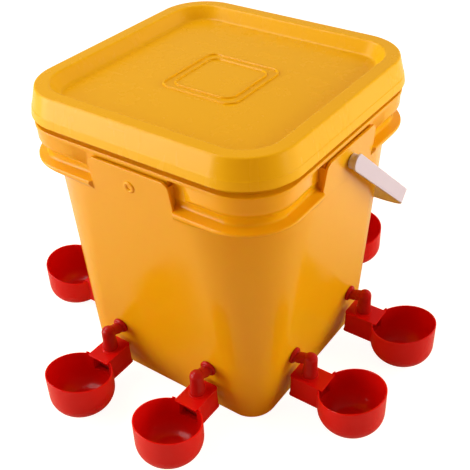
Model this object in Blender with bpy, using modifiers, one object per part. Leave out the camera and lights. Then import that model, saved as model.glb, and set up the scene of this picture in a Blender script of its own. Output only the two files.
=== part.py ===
# Square poultry drinker: a lidded water pail with a carry handle and eight float cups.
# Metres, +Z up. The origin is the middle of the pail's base, on the floor.
# Two cups hang on each side of the pail, and the handle swings on the +X and -X sides.

import math

import bmesh
import bpy
from mathutils import Matrix, Vector

# Clearances
FIT_GAP = 0.0003            # between pieces that touch
RUNNING_GAP = 0.0004        # round a pin or a tail that turns

# Pail body: a square tube that widens upwards
BASE_HALF = 0.1258          # half width at the floor
TAPER = 0.1041              # widening of each side per metre of height
BASE_CORNER = 0.030         # corner radius at the floor
CORNER_GROWTH = 0.237       # growth of the corner radius per metre of height
WALL = 0.0026
FLOOR_THICKNESS = 0.0032
BASE_FILLET = 0.004
INNER_FILLET = 0.008

# Ledge, neck and collar under the lid
LEDGE_HEIGHT = 0.2835       # top of the ledge's outer lip
LIP_OVERHANG = 0.0033       # lip beyond the wall at the middle of a side
LIP_CORNER = 0.059
LIP_THICKNESS = 0.0035
LIP_UNDERCUT = 0.006        # height of the slope under the lip
LEDGE_WIDTH = 0.0114        # from the lip in to the neck
LEDGE_RISE = 0.0025         # the ledge climbs this much towards the neck
NECK_CORNER = 0.044
NECK_HEIGHT = 0.008         # straight neck above the ledge
COVE_HEIGHT = 0.009
BAND_OUT = 0.0080           # collar band beyond the neck
BAND_CORNER = 0.054
BAND_HEIGHT = 0.015
FLANGE_OUT = 0.0010         # thin flange beyond the band
FLANGE_THICKNESS = 0.004
GROOVE_HEIGHT = 0.008       # between the flange and the lid's skirt
RIM_FLARE = 0.0025          # rim beyond the neck
RIM_EDGE = 0.0006

# Ear plates, one in the middle of each side
EAR_TOP_HALF = 0.0500
EAR_FOOT_HALF = 0.0525
EAR_HEIGHT = 0.032
EAR_CORNER = 0.008
EAR_THICKNESS = 0.0028
EAR_PROUD = 0.0004          # face of the plate in front of the wall's plane
RECESS_TOP_HALF = 0.072     # the collar band is left out behind the plates
RECESS_FOOT_HALF = 0.077
BOSS_RADIUS = 0.0066
BOSS_HEIGHT = 0.0012

# Lid
SKIRT_HEIGHT = 0.030
SKIRT_FLARE = 0.0075
SKIRT_LINE_RISE = 0.009     # raised line above the skirt's lower edge
SKIRT_LINE_OUT = 0.0005
LID_WALL = 0.0022
LID_CORNER = 0.055
BORDER_WIDTH = 0.0155
RECESS_DEPTH = 0.0145
RECESS_SLOPE = 0.009        # the recess narrows by this on each side
RECESS_FILLET = 0.005
LID_EDGE = 0.002
SEAL_RIB_WIDTH = 0.0020
SEAL_RIB_DEPTH = 0.0100
GASKET_HEIGHT = 0.0024
LINE_HALVES = (0.048, 0.039)    # outer half widths of the two raised squares
LINE_CORNER = 0.010
LINE_WIDTH = 0.0022
LINE_HEIGHT = 0.0008

# Carry handle: one flat strap bent to a U
STRAP_WIDTH = 0.022
STRAP_THICKNESS = 0.003
STRAP_REACH = 0.200         # from the pivots to the grip
STRAP_BEND = 0.040
HANDLE_CLEARANCE = 0.004    # between an arm and the lid's skirt
PIVOT_ABOVE_LEDGE = 0.011
PIN_RADIUS = 0.0043
HUB_RADIUS = 0.0080
HEAD_RADIUS = 0.0070
HEAD_THICKNESS = 0.0022

# Fittings through the wall, two on each side
FITTING_SPREAD = 0.0645     # from the middle of the side
FITTING_HEIGHT = 0.0654
TAIL_RADIUS = 0.0052
FLANGE_RADIUS = 0.0097
FLANGE_HEIGHT = 0.0040
NUT_RADIUS = 0.0098
NUT_HEIGHT = 0.0050
WASHER_RADIUS = 0.0090
WASHER_HEIGHT = 0.0020
TAIL_SPARE = 0.0020         # thread that shows past the nut
ARM_ROOT_RADIUS = 0.0070
ARM_RADIUS = 0.0063
ARM_RISE = 0.0052           # from the hole up to the middle of the head
STEM_OUT = 0.0226           # from the wall's face at the fitting to the stem's axis
STEM_RADIUS = 0.0079
STEM_FOOT_RADIUS = 0.0087
STEM_FOOT_HEIGHT = 0.0060
SPIGOT_RADIUS = 0.0046      # turns in the cup's socket
BARB_RADIUS = 0.0054
BARB_HEIGHT = 0.0016
NOZZLE_RADIUS = 0.0030
NOZZLE_LENGTH = 0.0020
BORE_RADIUS = 0.0016
RING_WIRE = 0.0009          # radius of the O-ring's section

# Float cups
CUP_CLEARANCE = 0.0025      # under the bowl
HOUSING_TOP = 0.046
HOUSING_BOTTOM = 0.016
HOUSING_HALF = 0.0145       # half width at the top
HOUSING_FLARE = 0.0012
HOUSING_CORNER = 0.004      # upright corners at the back
HOUSING_BACK = 0.0185       # behind the stem's axis
HOUSING_FRONT = 0.0235      # roof in front of the stem's axis
ROOF = 0.0022
COLLAR_RADIUS = 0.0103
COLLAR_HEIGHT = 0.0010
CHAMBER_WALL = 0.0020
CHAMBER_FRONT = 0.0120      # in front of the stem's axis
MOUTH_HALF = 0.0120
MOUTH_TOP = 0.0425
MOUTH_SILL = 0.021
MOUTH_CORNER = 0.004
BOWL_OUT = 0.0530           # from the stem's axis to the bowl's
BOWL_RADIUS = 0.0378
BOWL_WALL = 0.0018
BOWL_FOOT = 0.015           # flat radius at the bottom
BOWL_SHOULDER = 0.025       # height at which the side turns upright
RIM_RISE = 0.0048           # the rim over the bowl's axis, above the housing's top
RIM_SLANT = math.radians(11)
TIP_LENGTH = 0.0040         # the rim's two ends turn up beside the housing
TIP_HEIGHT = 0.0020

# Floats and their seals
FLOAT_TRAVEL = 0.004
FLOAT_SIDE_GAP = 0.0015
SEAL_RADIUS = 0.0045
SEAL_HEIGHT = 0.0025
SEAL_POCKET = 0.0012

# Mesh fineness
CORNER_STEPS = 6
BOWL_STEPS = 20
ROUND_STEPS = 12
ELBOW_STEPS = 10
SMALL_STEPS = 8

# Heights and widths that follow
NECK_FOOT = LEDGE_HEIGHT + LEDGE_RISE
BAND_FOOT = NECK_FOOT + NECK_HEIGHT + COVE_HEIGHT
FLANGE_FOOT = BAND_FOOT + BAND_HEIGHT
FLANGE_TOP = FLANGE_FOOT + FLANGE_THICKNESS
SKIRT_FOOT = FLANGE_TOP + GROOVE_HEIGHT
LID_TOP = SKIRT_FOOT + SKIRT_HEIGHT
CHANNEL_TOP = LID_TOP - LID_WALL
RIM_TOP = CHANNEL_TOP - GASKET_HEIGHT - 2 * FIT_GAP


def wall_half(height):
    return BASE_HALF + TAPER * height


def wall_corner(height):
    return BASE_CORNER + CORNER_GROWTH * height


LIP_HALF = wall_half(LEDGE_HEIGHT) + LIP_OVERHANG
NECK_HALF = LIP_HALF - LEDGE_WIDTH
BAND_HALF = NECK_HALF + BAND_OUT
RIM_HALF = NECK_HALF + RIM_FLARE
LID_HALF = RIM_HALF + FIT_GAP + LID_WALL
SKIRT_HALF = LID_HALF + SKIRT_FLARE
RIM_CORNER = LID_CORNER - FIT_GAP - LID_WALL
PIVOT_HEIGHT = LEDGE_HEIGHT + PIVOT_ABOVE_LEDGE
ARM_X = SKIRT_HALF + HANDLE_CLEARANCE + STRAP_THICKNESS / 2
WALL_TILT = math.atan(TAPER)
STEM_X = wall_half(FITTING_HEIGHT) + STEM_OUT
EAR_FOOT = LEDGE_HEIGHT - LIP_THICKNESS
TAIL_HOLE = TAIL_RADIUS + FIT_GAP


# Scene

def clear_scene():
    for item in list(bpy.data.objects):
        bpy.data.objects.remove(item, do_unlink=True)


def new_collection(name):
    collection = bpy.data.collections.new(name)
    bpy.context.scene.collection.children.link(collection)
    return collection


def new_material(name, colour, roughness):
    material = bpy.data.materials.new(name)
    material.use_nodes = True
    shader = material.node_tree.nodes["Principled BSDF"]
    shader.inputs["Base Color"].default_value = (*colour, 1.0)
    shader.inputs["Roughness"].default_value = roughness
    shader.inputs["Metallic"].default_value = 0.0
    material.diffuse_color = (*colour, 1.0)
    return material


# Mesh tools: each returns a mesh in its own coordinates

def evaluated(mesh, add_modifiers):
    """Puts a mesh through modifiers and returns the result."""
    carrier = bpy.data.objects.new("carrier", mesh)
    bpy.context.scene.collection.objects.link(carrier)
    add_modifiers(carrier)
    graph = bpy.context.evaluated_depsgraph_get()
    result = bpy.data.meshes.new_from_object(carrier.evaluated_get(graph))
    bpy.data.objects.remove(carrier, do_unlink=True)
    return result


def boolean(mesh, other, operation):
    """Joins another mesh to this one, or cuts it out."""
    tool = bpy.data.objects.new("tool", other)
    bpy.context.scene.collection.objects.link(tool)

    def add_modifiers(carrier):
        step = carrier.modifiers.new("boolean", "BOOLEAN")
        step.operation = operation
        step.solver = "EXACT"
        step.object = tool

    result = evaluated(mesh, add_modifiers)
    bpy.data.objects.remove(tool, do_unlink=True)
    return result


def union(mesh, *others):
    for other in others:
        mesh = boolean(mesh, other, "UNION")
    return mesh


def cut(mesh, *others):
    for other in others:
        mesh = boolean(mesh, other, "DIFFERENCE")
    return mesh


def moved(mesh, matrix):
    mesh.transform(matrix)
    return mesh


def square_ring(half, corner, height):
    """A rounded square, counter-clockwise from the middle of the +X side."""
    points = []
    for quarter in range(4):
        middle = math.radians(45 + 90 * quarter)
        centre_x = math.copysign(half - corner, math.cos(middle))
        centre_y = math.copysign(half - corner, math.sin(middle))
        for step in range(CORNER_STEPS + 1):
            angle = math.radians(90) * (quarter + step / CORNER_STEPS)
            x = centre_x + corner * math.cos(angle)
            y = centre_y + corner * math.sin(angle)
            points.append((x, y, height))
    return points


def soften(profile, steps=2):
    """Rounds the profile points that come with a distance; the others stay sharp."""
    rings = []
    for index, (half, corner, height, distance) in enumerate(profile):
        point = Vector((half, corner, height))
        if not distance:
            rings.append(point)
            continue
        ends = []
        for neighbour in (profile[index - 1], profile[(index + 1) % len(profile)]):
            way = Vector(neighbour[:3]) - point
            ends.append(point + way * (distance / math.hypot(way.x, way.z)))
        for step in range(steps + 1):
            t = step / steps
            rings.append(ends[0] * (1 - t) ** 2 + point * 2 * t * (1 - t) + ends[1] * t ** 2)
    return rings


def loft_mesh(rings, closed=False):
    """Joins rounded squares of unlike size: outer side upwards, inner side downwards."""
    shape = bmesh.new()
    loops = [[shape.verts.new(point) for point in square_ring(*ring)] for ring in rings]
    pairs = list(zip(loops, loops[1:]))
    if closed:
        pairs.append((loops[-1], loops[0]))
    else:
        shape.faces.new(list(reversed(loops[0])))
        shape.faces.new(loops[-1])
    for lower, upper in pairs:
        for index in range(len(lower)):
            after = (index + 1) % len(lower)
            shape.faces.new((lower[index], lower[after], upper[after], upper[index]))
    mesh = bpy.data.meshes.new("loft")
    shape.to_mesh(mesh)
    shape.free()
    return mesh


def turned_mesh(profile, steps=ROUND_STEPS, closed=False):
    """Turns (radius, height) points round Z; they run down the outer side."""
    mesh = bpy.data.meshes.new("profile")
    edges = [(index, index + 1) for index in range(len(profile) - 1)]
    if closed:
        edges.append((len(profile) - 1, 0))
    mesh.from_pydata([(radius, 0.0, height) for radius, height in profile], edges, [])

    def add_modifiers(carrier):
        step = carrier.modifiers.new("turn", "SCREW")
        step.axis = "Z"
        step.steps = steps
        step.render_steps = steps
        step.use_merge_vertices = True
        step.merge_threshold = 0.00001

    return evaluated(mesh, add_modifiers)


def rod_mesh(start, end, start_radius, end_radius, sides=SMALL_STEPS):
    """A straight round rod between two points."""
    way = Vector(end) - Vector(start)
    shape = bmesh.new()
    bmesh.ops.create_cone(shape, cap_ends=True, segments=sides, radius1=start_radius,
                          radius2=end_radius, depth=way.length)
    mesh = bpy.data.meshes.new("rod")
    shape.to_mesh(mesh)
    shape.free()
    turn = way.to_track_quat("Z", "Y").to_matrix().to_4x4()
    return moved(mesh, Matrix.Translation(Vector(start) + way / 2) @ turn)


def clear_of(radius, sides):
    """The corner radius of a hole with flat sides that clears a round piece."""
    return radius / math.cos(math.pi / sides)


def drill_mesh(start, end, radius, sides=SMALL_STEPS):
    wide = clear_of(radius, sides)
    return rod_mesh(start, end, wide, wide, sides)


def box_mesh(low, high):
    size = Vector(high) - Vector(low)
    shape = bmesh.new()
    bmesh.ops.create_cube(shape, size=1.0)
    mesh = bpy.data.meshes.new("box")
    shape.to_mesh(mesh)
    shape.free()
    middle = (Vector(low) + Vector(high)) / 2
    return moved(mesh, Matrix.Translation(middle) @ Matrix.Diagonal((*size, 1.0)))


def plate_mesh(outline, thickness):
    """A flat plate in XY from its outline, centred on Z = 0."""
    curve = bpy.data.curves.new("outline", "CURVE")
    curve.dimensions = "2D"
    curve.fill_mode = "BOTH"
    curve.extrude = thickness / 2
    spline = curve.splines.new("POLY")
    spline.points.add(len(outline) - 1)
    for point, (x, y) in zip(spline.points, outline):
        point.co = (x, y, 0.0, 1.0)
    spline.use_cyclic_u = True
    holder = bpy.data.objects.new("outline", curve)
    bpy.context.scene.collection.objects.link(holder)
    graph = bpy.context.evaluated_depsgraph_get()
    mesh = bpy.data.meshes.new_from_object(holder.evaluated_get(graph))
    bpy.data.objects.remove(holder, do_unlink=True)
    shape = bmesh.new()
    shape.from_mesh(mesh)
    bmesh.ops.remove_doubles(shape, verts=shape.verts, dist=0.00001)
    bmesh.ops.recalc_face_normals(shape, faces=shape.faces)
    shape.to_mesh(mesh)
    shape.free()
    return mesh


def upright(matrix=Matrix.Identity(4)):
    """Stands a plate up: its X goes to +Y, its Y to +Z and its thickness to +X."""
    columns = Matrix(((0, 0, 1, 0), (1, 0, 0, 0), (0, 1, 0, 0), (0, 0, 0, 1)))
    return matrix @ columns


def arc(centre, radius, first, last, steps):
    """Points of an arc, with its angles in degrees."""
    points = []
    for step in range(steps + 1):
        angle = math.radians(first + (last - first) * step / steps)
        points.append((centre[0] + radius * math.cos(angle), centre[1] + radius * math.sin(angle)))
    return points


def smooth(mesh):
    mesh.shade_smooth()
    mesh.set_sharp_from_angle(angle=math.radians(35))
    return mesh


# Where things stand

def side_matrix(side):
    """Turns the +X side to side 0 (-Y), 1 (+X), 2 (+Y) or 3 (-X)."""
    return Matrix.Rotation(math.radians(90 * (side - 1)), 4, "Z")


def wall_frame(across, height):
    """On the +X side's face: X out of the wall, Y along it, Z up its slope."""
    place = Matrix.Translation((wall_half(height), across, height))
    return place @ Matrix.Rotation(WALL_TILT, 4, "Y")


def stations():
    """The eight places of a fitting and its cup, as (number, side, across)."""
    places = []
    for side in range(4):
        for across in (-FITTING_SPREAD, FITTING_SPREAD):
            places.append((len(places) + 1, side, across))
    return places


# Pail

def pail_profile():
    lip_foot = LEDGE_HEIGHT - LIP_THICKNESS
    slope_foot = lip_foot - LIP_UNDERCUT
    shoulder = LEDGE_HEIGHT - WALL
    inner_neck = NECK_HALF - WALL
    inner_corner = NECK_CORNER - WALL
    cove_foot = NECK_FOOT + NECK_HEIGHT
    return [
        (BASE_HALF, BASE_CORNER, 0.0, BASE_FILLET),
        (wall_half(slope_foot), wall_corner(slope_foot), slope_foot, 0.0),
        (LIP_HALF, LIP_CORNER, lip_foot, 0.0),
        (LIP_HALF, LIP_CORNER, LEDGE_HEIGHT, 0.0008),
        (NECK_HALF, NECK_CORNER, NECK_FOOT, 0.0015),
        (NECK_HALF, NECK_CORNER, cove_foot, COVE_HEIGHT / 2),
        (BAND_HALF, BAND_CORNER, BAND_FOOT, COVE_HEIGHT / 3),
        (BAND_HALF, BAND_CORNER, FLANGE_FOOT, 0.0),
        (BAND_HALF + FLANGE_OUT, BAND_CORNER + FLANGE_OUT, FLANGE_FOOT, 0.0),
        (BAND_HALF + FLANGE_OUT, BAND_CORNER + FLANGE_OUT, FLANGE_TOP, 0.0006),
        (RIM_HALF, RIM_CORNER, FLANGE_TOP, 0.0),
        (RIM_HALF, RIM_CORNER, RIM_TOP, RIM_EDGE),
        (RIM_HALF - WALL, RIM_CORNER - WALL, RIM_TOP, RIM_EDGE),
        (RIM_HALF - WALL, RIM_CORNER - WALL, SKIRT_FOOT, 0.0),
        (inner_neck, inner_corner, FLANGE_FOOT, 0.0),
        (inner_neck, inner_corner, NECK_FOOT - WALL, 0.0),
        (wall_half(shoulder) - WALL, wall_corner(shoulder) - WALL, shoulder, 0.0),
        (wall_half(FLOOR_THICKNESS) - WALL, wall_corner(FLOOR_THICKNESS) - WALL,
         FLOOR_THICKNESS, INNER_FILLET),
    ]


def pail_rings():
    """The base and the inner floor close the profile with flat middles."""
    flat_corner = BASE_CORNER - 2 * BASE_FILLET
    base = (BASE_HALF - 2 * BASE_FILLET, flat_corner, 0.0, 0.0)
    floor = (BASE_HALF - WALL - 2 * INNER_FILLET, BASE_CORNER - WALL - 2 * INNER_FILLET,
             FLOOR_THICKNESS, 0.0)
    return soften([base, *pail_profile(), floor])


def ear_mesh(side_has_pivot):
    foot, top = EAR_FOOT_HALF, EAR_TOP_HALF
    right = arc((top - EAR_CORNER, EAR_HEIGHT - EAR_CORNER), EAR_CORNER, 0, 90, 4)
    left = [(-x, y) for x, y in reversed(right)]
    plate = plate_mesh([(-foot, 0.0), (foot, 0.0), *right, *left], EAR_THICKNESS)
    frame = wall_frame(0.0, EAR_FOOT) @ Matrix.Translation((EAR_PROUD - EAR_THICKNESS / 2, 0, 0))
    ear = moved(plate, upright(frame))
    if side_has_pivot:
        return ear
    middle = wall_frame(0.0, PIVOT_HEIGHT)
    boss = rod_mesh((-EAR_THICKNESS / 2, 0, 0), (EAR_PROUD + BOSS_HEIGHT, 0, 0), BOSS_RADIUS,
                    BOSS_RADIUS - BOSS_HEIGHT, ROUND_STEPS)
    return union(ear, moved(boss, middle))


def ear_room_mesh():
    """The collar band is left out behind a plate, from the neck outwards."""
    foot = NECK_FOOT + NECK_HEIGHT / 2
    outline = [(-RECESS_FOOT_HALF, foot), (RECESS_FOOT_HALF, foot),
               (RECESS_TOP_HALF, FLANGE_FOOT + 0.0001), (-RECESS_TOP_HALF, FLANGE_FOOT + 0.0001)]
    depth = 3 * BAND_OUT
    room = plate_mesh(outline, depth)
    return moved(room, upright(Matrix.Translation((NECK_HALF + 0.00005 + depth / 2, 0, 0))))


def lip_trim_mesh():
    """Takes the ledge's lip off where a plate stands in its place."""
    half = EAR_FOOT_HALF - FIT_GAP
    below = LIP_UNDERCUT + 0.001
    above = LIP_THICKNESS + 0.001
    trim = box_mesh((0.00005, -half, -below), (3 * LIP_OVERHANG, half, above))
    return moved(trim, wall_frame(0.0, EAR_FOOT))


def pail_mesh():
    pail = loft_mesh(pail_rings())
    for side in range(4):
        turn = side_matrix(side)
        has_pivot = side in (1, 3)
        pail = cut(pail, moved(ear_room_mesh(), turn), moved(lip_trim_mesh(), turn))
        pail = union(pail, moved(ear_mesh(has_pivot), turn))
        if has_pivot:
            hole = drill_mesh((NECK_HALF + BOSS_HEIGHT, 0, PIVOT_HEIGHT),
                              (ARM_X, 0, PIVOT_HEIGHT), PIN_RADIUS + RUNNING_GAP, ROUND_STEPS)
            pail = cut(pail, moved(hole, turn))
    for number, side, across in stations():
        hole = drill_mesh((-3 * WALL, 0, 0), (WALL, 0, 0), TAIL_HOLE, ROUND_STEPS)
        pail = cut(pail, moved(hole, side_matrix(side) @ wall_frame(across, FITTING_HEIGHT)))
    return pail


# Lid

def lid_corner(half):
    """The lid's rounded squares share the centres of their corners."""
    return LID_CORNER - LID_HALF + half


def raised_line(half, floor):
    inner = half - LINE_WIDTH
    corner = LINE_CORNER - LINE_WIDTH
    return [(half, LINE_CORNER, floor, 0.0), (half, LINE_CORNER, floor + LINE_HEIGHT, 0.0),
            (inner, corner, floor + LINE_HEIGHT, 0.0), (inner, corner, floor, 0.0)]


def lid_profile():
    floor = LID_TOP - RECESS_DEPTH
    border = LID_HALF - BORDER_WIDTH
    floor_half = border - RECESS_SLOPE
    plug_top = border + LID_WALL
    plug_foot = floor_half + LID_WALL
    rib = RIM_HALF - WALL - FIT_GAP
    rib_foot = CHANNEL_TOP - SEAL_RIB_DEPTH
    channel = RIM_HALF + FIT_GAP
    line_height = SKIRT_FOOT + SKIRT_LINE_RISE
    line_half = LID_HALF + SKIRT_FLARE * (1 - SKIRT_LINE_RISE / SKIRT_HEIGHT)
    outline = [
        (plug_foot - RECESS_FILLET, floor - LID_WALL, 0.0),
        (plug_foot, floor - LID_WALL, 0.0015),
        (plug_top, CHANNEL_TOP, 0.0),
        (rib - SEAL_RIB_WIDTH, CHANNEL_TOP, 0.0),
        (rib - SEAL_RIB_WIDTH, rib_foot, 0.0),
        (rib, rib_foot, 0.0),
        (rib, CHANNEL_TOP, 0.0),
        (channel, CHANNEL_TOP, 0.0),
        (SKIRT_HALF - LID_WALL, SKIRT_FOOT, 0.0),
        (SKIRT_HALF, SKIRT_FOOT, 0.0008),
        (line_half + SKIRT_LINE_OUT, line_height, 0.0),
        (line_half, line_height + SKIRT_LINE_OUT, 0.0),
        (LID_HALF, LID_TOP, LID_EDGE),
        (border, LID_TOP, LID_EDGE),
        (floor_half, floor, RECESS_FILLET),
    ]
    profile = [(half, lid_corner(half), height, distance) for half, height, distance in outline]
    for half in LINE_HALVES:
        profile += raised_line(half, floor)
    return profile


def gasket_profile():
    outer = RIM_HALF
    inner = RIM_HALF - WALL
    low, high = RIM_TOP + FIT_GAP, CHANNEL_TOP - FIT_GAP
    return [(outer, lid_corner(outer), low), (outer, lid_corner(outer), high),
            (inner, lid_corner(inner), high), (inner, lid_corner(inner), low)]


# Carry handle

def strap_path():
    """Stations along the U as (x, reach, half width), from one rounded end to the other."""
    radius = STRAP_WIDTH / 2
    stops = []
    for step in range(5):
        angle = math.radians(90 * step / 4)
        stops.append((ARM_X, -radius * math.cos(angle), radius * math.sin(angle)))
    for x, reach in arc((ARM_X - STRAP_BEND, STRAP_REACH - STRAP_BEND), STRAP_BEND, 0, 90, 6):
        stops.append((x, reach, radius))
    return stops + [(-x, reach, half) for x, reach, half in reversed(stops)]


def strap_mesh():
    """The strap lies in XY with its reach along +Y; its width is along Z."""
    shape = bmesh.new()
    rows = []
    for x, reach, half in strap_path():
        if half < FIT_GAP:
            rows.append([shape.verts.new((x, reach, 0.0))])
        else:
            rows.append([shape.verts.new((x, reach, -half)), shape.verts.new((x, reach, half))])
    for row, after in zip(rows, rows[1:]):
        shape.faces.new((*row, *reversed(after)))
    bmesh.ops.recalc_face_normals(shape, faces=shape.faces)
    mesh = bpy.data.meshes.new("strap")
    shape.to_mesh(mesh)
    shape.free()

    def add_modifiers(carrier):
        step = carrier.modifiers.new("thickness", "SOLIDIFY")
        step.thickness = STRAP_THICKNESS
        step.offset = 0.0
        step.use_even_offset = True

    return evaluated(mesh, add_modifiers)


def stud_mesh():
    """The snap stud at one end of the strap, turned round X, towards +X."""
    hub_end = wall_half(PIVOT_HEIGHT + HUB_RADIUS) + EAR_PROUD + FIT_GAP
    head_face = wall_half(PIVOT_HEIGHT - HEAD_RADIUS) + EAR_PROUD - EAR_THICKNESS - 2 * FIT_GAP
    profile = [(0.0, ARM_X), (HUB_RADIUS, ARM_X), (HUB_RADIUS, hub_end), (PIN_RADIUS, hub_end),
               (PIN_RADIUS, head_face), (HEAD_RADIUS, head_face),
               (HEAD_RADIUS - 0.001, head_face - HEAD_THICKNESS), (0.0, head_face - HEAD_THICKNESS)]
    return moved(turned_mesh(profile), Matrix.Rotation(math.radians(90), 4, "Y"))


def handle_rest_angle():
    """How far the strap hangs below level when its grip leans on the +Y wall."""
    reach = STRAP_REACH - STRAP_THICKNESS / 2
    edge = math.hypot(reach, STRAP_WIDTH / 2)
    lead = math.atan2(STRAP_WIDTH / 2, reach)
    wall = wall_half(PIVOT_HEIGHT) + 2 * FIT_GAP
    return WALL_TILT + math.acos(wall / (edge * math.hypot(1.0, TAPER))) - lead


def handle_mesh():
    mesh = strap_mesh()
    other_side = Matrix.Rotation(math.radians(180), 4, "Z")
    mesh = union(mesh, stud_mesh(), moved(stud_mesh(), other_side))
    return moved(mesh, Matrix.Rotation(-handle_rest_angle(), 4, "X"))


# Fittings: in the wall's frame, X out of the wall

def flange_face():
    return FIT_GAP


def nut_place():
    """Distances in from the wall's face: the washer's outer side and the nut's."""
    washer = WALL * math.cos(WALL_TILT) + FIT_GAP
    return washer, washer + WASHER_HEIGHT + FIT_GAP


def tail_mesh():
    """Threaded tail, flange and the root of the arm, turned round X."""
    washer, nut = nut_place()
    inner_end = nut + NUT_HEIGHT + TAIL_SPARE
    face = flange_face()
    outer = face + FLANGE_HEIGHT
    profile = [(0.0, outer + 0.006), (ARM_RADIUS, outer + 0.006), (ARM_ROOT_RADIUS, outer),
               (FLANGE_RADIUS - 0.0016, outer), (FLANGE_RADIUS, outer - 0.0016),
               (FLANGE_RADIUS, face), (TAIL_RADIUS, face), (TAIL_RADIUS, -inner_end),
               (0.0, -inner_end)]
    return moved(turned_mesh(profile, ELBOW_STEPS), Matrix.Rotation(math.radians(90), 4, "Y"))


def stem_mesh():
    """Domed head, stem, spigot, barb and nozzle, turned round the stem's axis."""
    head = FITTING_HEIGHT + ARM_RISE
    foot = collar_top() + FIT_GAP
    barb = HOUSING_TOP - ROOF - FIT_GAP
    tip = nozzle_tip()
    dome = [(STEM_RADIUS * math.sin(angle), head + STEM_RADIUS * math.cos(angle))
            for angle in (math.radians(90 * step / 3) for step in range(4))]
    profile = [*dome, (STEM_RADIUS, foot + 2 * STEM_FOOT_HEIGHT),
               (STEM_FOOT_RADIUS, foot + STEM_FOOT_HEIGHT), (STEM_FOOT_RADIUS, foot),
               (SPIGOT_RADIUS, foot), (SPIGOT_RADIUS, barb), (BARB_RADIUS, barb),
               (SPIGOT_RADIUS, barb - BARB_HEIGHT), (NOZZLE_RADIUS, barb - BARB_HEIGHT),
               (NOZZLE_RADIUS, tip), (0.0, tip)]
    return turned_mesh(profile, ELBOW_STEPS)


def collar_top():
    return HOUSING_TOP + COLLAR_HEIGHT


def nozzle_tip():
    return HOUSING_TOP - ROOF - FIT_GAP - BARB_HEIGHT - NOZZLE_LENGTH


def station_frame():
    """Moves a mesh from the wall's frame to the station's, whose Z axis is the stem's."""
    return Matrix.Translation((-STEM_X, 0, 0)) @ wall_frame(0.0, FITTING_HEIGHT)


def elbow_mesh():
    frame = station_frame()
    head = Vector((0.0, 0.0, FITTING_HEIGHT + ARM_RISE))
    root = frame @ Vector((flange_face() + FLANGE_HEIGHT + 0.002, 0, 0))
    arm = rod_mesh(root, head, ARM_ROOT_RADIUS * 0.95, ARM_RADIUS)
    knob_x = (root.x + head.x) / 2 + 0.001
    knob = box_mesh((knob_x - 0.0015, -0.0014, head.z - ARM_RADIUS - 0.0032),
                    (knob_x + 0.0018, 0.0014, head.z - 0.001))
    elbow = union(stem_mesh(), arm, moved(tail_mesh(), frame), knob)
    tail_end = frame @ Vector((-0.02, 0, 0))
    wide = 1.5 * BORE_RADIUS
    along = rod_mesh(tail_end, root, wide, wide, 6)
    across = rod_mesh(root - (head - root) * 0.1, head, wide * 0.95, wide * 0.95, 6)
    down = rod_mesh(head + Vector((0, 0, 0.0005)), (0.0, 0.0, nozzle_tip() - 0.001), BORE_RADIUS,
                    BORE_RADIUS, 6)
    return cut(elbow, union(along, across, down))


def washer_mesh():
    washer, nut = nut_place()
    hole = clear_of(TAIL_HOLE, SMALL_STEPS)
    profile = [(hole, -washer), (WASHER_RADIUS, -washer),
               (WASHER_RADIUS, -washer - WASHER_HEIGHT), (hole, -washer - WASHER_HEIGHT)]
    ring = turned_mesh(profile, SMALL_STEPS, closed=True)
    return moved(ring, Matrix.Rotation(math.radians(90), 4, "Y"))


def nut_mesh():
    washer, nut = nut_place()
    block = rod_mesh((-nut - NUT_HEIGHT, 0, 0), (-nut, 0, 0), NUT_RADIUS, NUT_RADIUS, 6)
    hole = drill_mesh((-nut - 2 * NUT_HEIGHT, 0, 0), (0, 0, 0), TAIL_HOLE)
    return cut(block, hole)


def ring_middle():
    return clear_of(SPIGOT_RADIUS + FIT_GAP, SMALL_STEPS) + RING_WIRE


def ring_mesh():
    """An O-ring round the spigot, in the recess at the top of the cup's collar."""
    middle = ring_middle()
    height = collar_top() - RING_WIRE
    section = arc((middle, height), RING_WIRE, 90, -210, 5)
    return turned_mesh(section, SMALL_STEPS, closed=True)


# Float cups: the stem's axis is the cup's own Z axis

def bowl_profile(radius, foot, drop):
    """From the rim down the side, round the bottom and in to the bowl's axis."""
    lower = CUP_CLEARANCE + drop
    turn = BOWL_SHOULDER
    high = HOUSING_TOP + 3 * RIM_RISE
    points = [(0.0, high), (radius, high), (radius, turn + 0.008)]
    for step in range(4):
        angle = math.radians(90 * step / 3)
        points.append((foot + (radius - foot) * math.cos(angle),
                       turn - (turn - lower) * math.sin(angle)))
    return points + [(0.0, lower)]


def bowl_mesh(inset):
    profile = bowl_profile(BOWL_RADIUS - inset, BOWL_FOOT, inset)
    return moved(turned_mesh(profile, BOWL_STEPS), Matrix.Translation((BOWL_OUT, 0, 0)))


def housing_mesh(front, low, high):
    """A block with the housing's outline, whose upright corners are round at the back."""
    back, half = -HOUSING_BACK, HOUSING_HALF
    corner = arc((back + HOUSING_CORNER, half - HOUSING_CORNER), HOUSING_CORNER, 90, 180, 3)
    outline = [(front, -half), (front, half), *corner, *[(x, -y) for x, y in reversed(corner)]]
    block = plate_mesh(outline, high - low)
    return moved(block, Matrix.Translation((0, 0, (high + low) / 2)))


def flared(block):
    """Widens the lower end of the housing."""
    for vertex in block.vertices:
        if vertex.co.z < HOUSING_TOP / 2:
            vertex.co.y += math.copysign(HOUSING_FLARE, vertex.co.y)
            if vertex.co.x < 0:
                vertex.co.x -= HOUSING_FLARE
    return block


def bowl_meets_housing():
    """Where the bowl's outer side crosses the housing's side, from the stem's axis."""
    return BOWL_OUT - math.sqrt(BOWL_RADIUS ** 2 - HOUSING_HALF ** 2)


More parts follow.
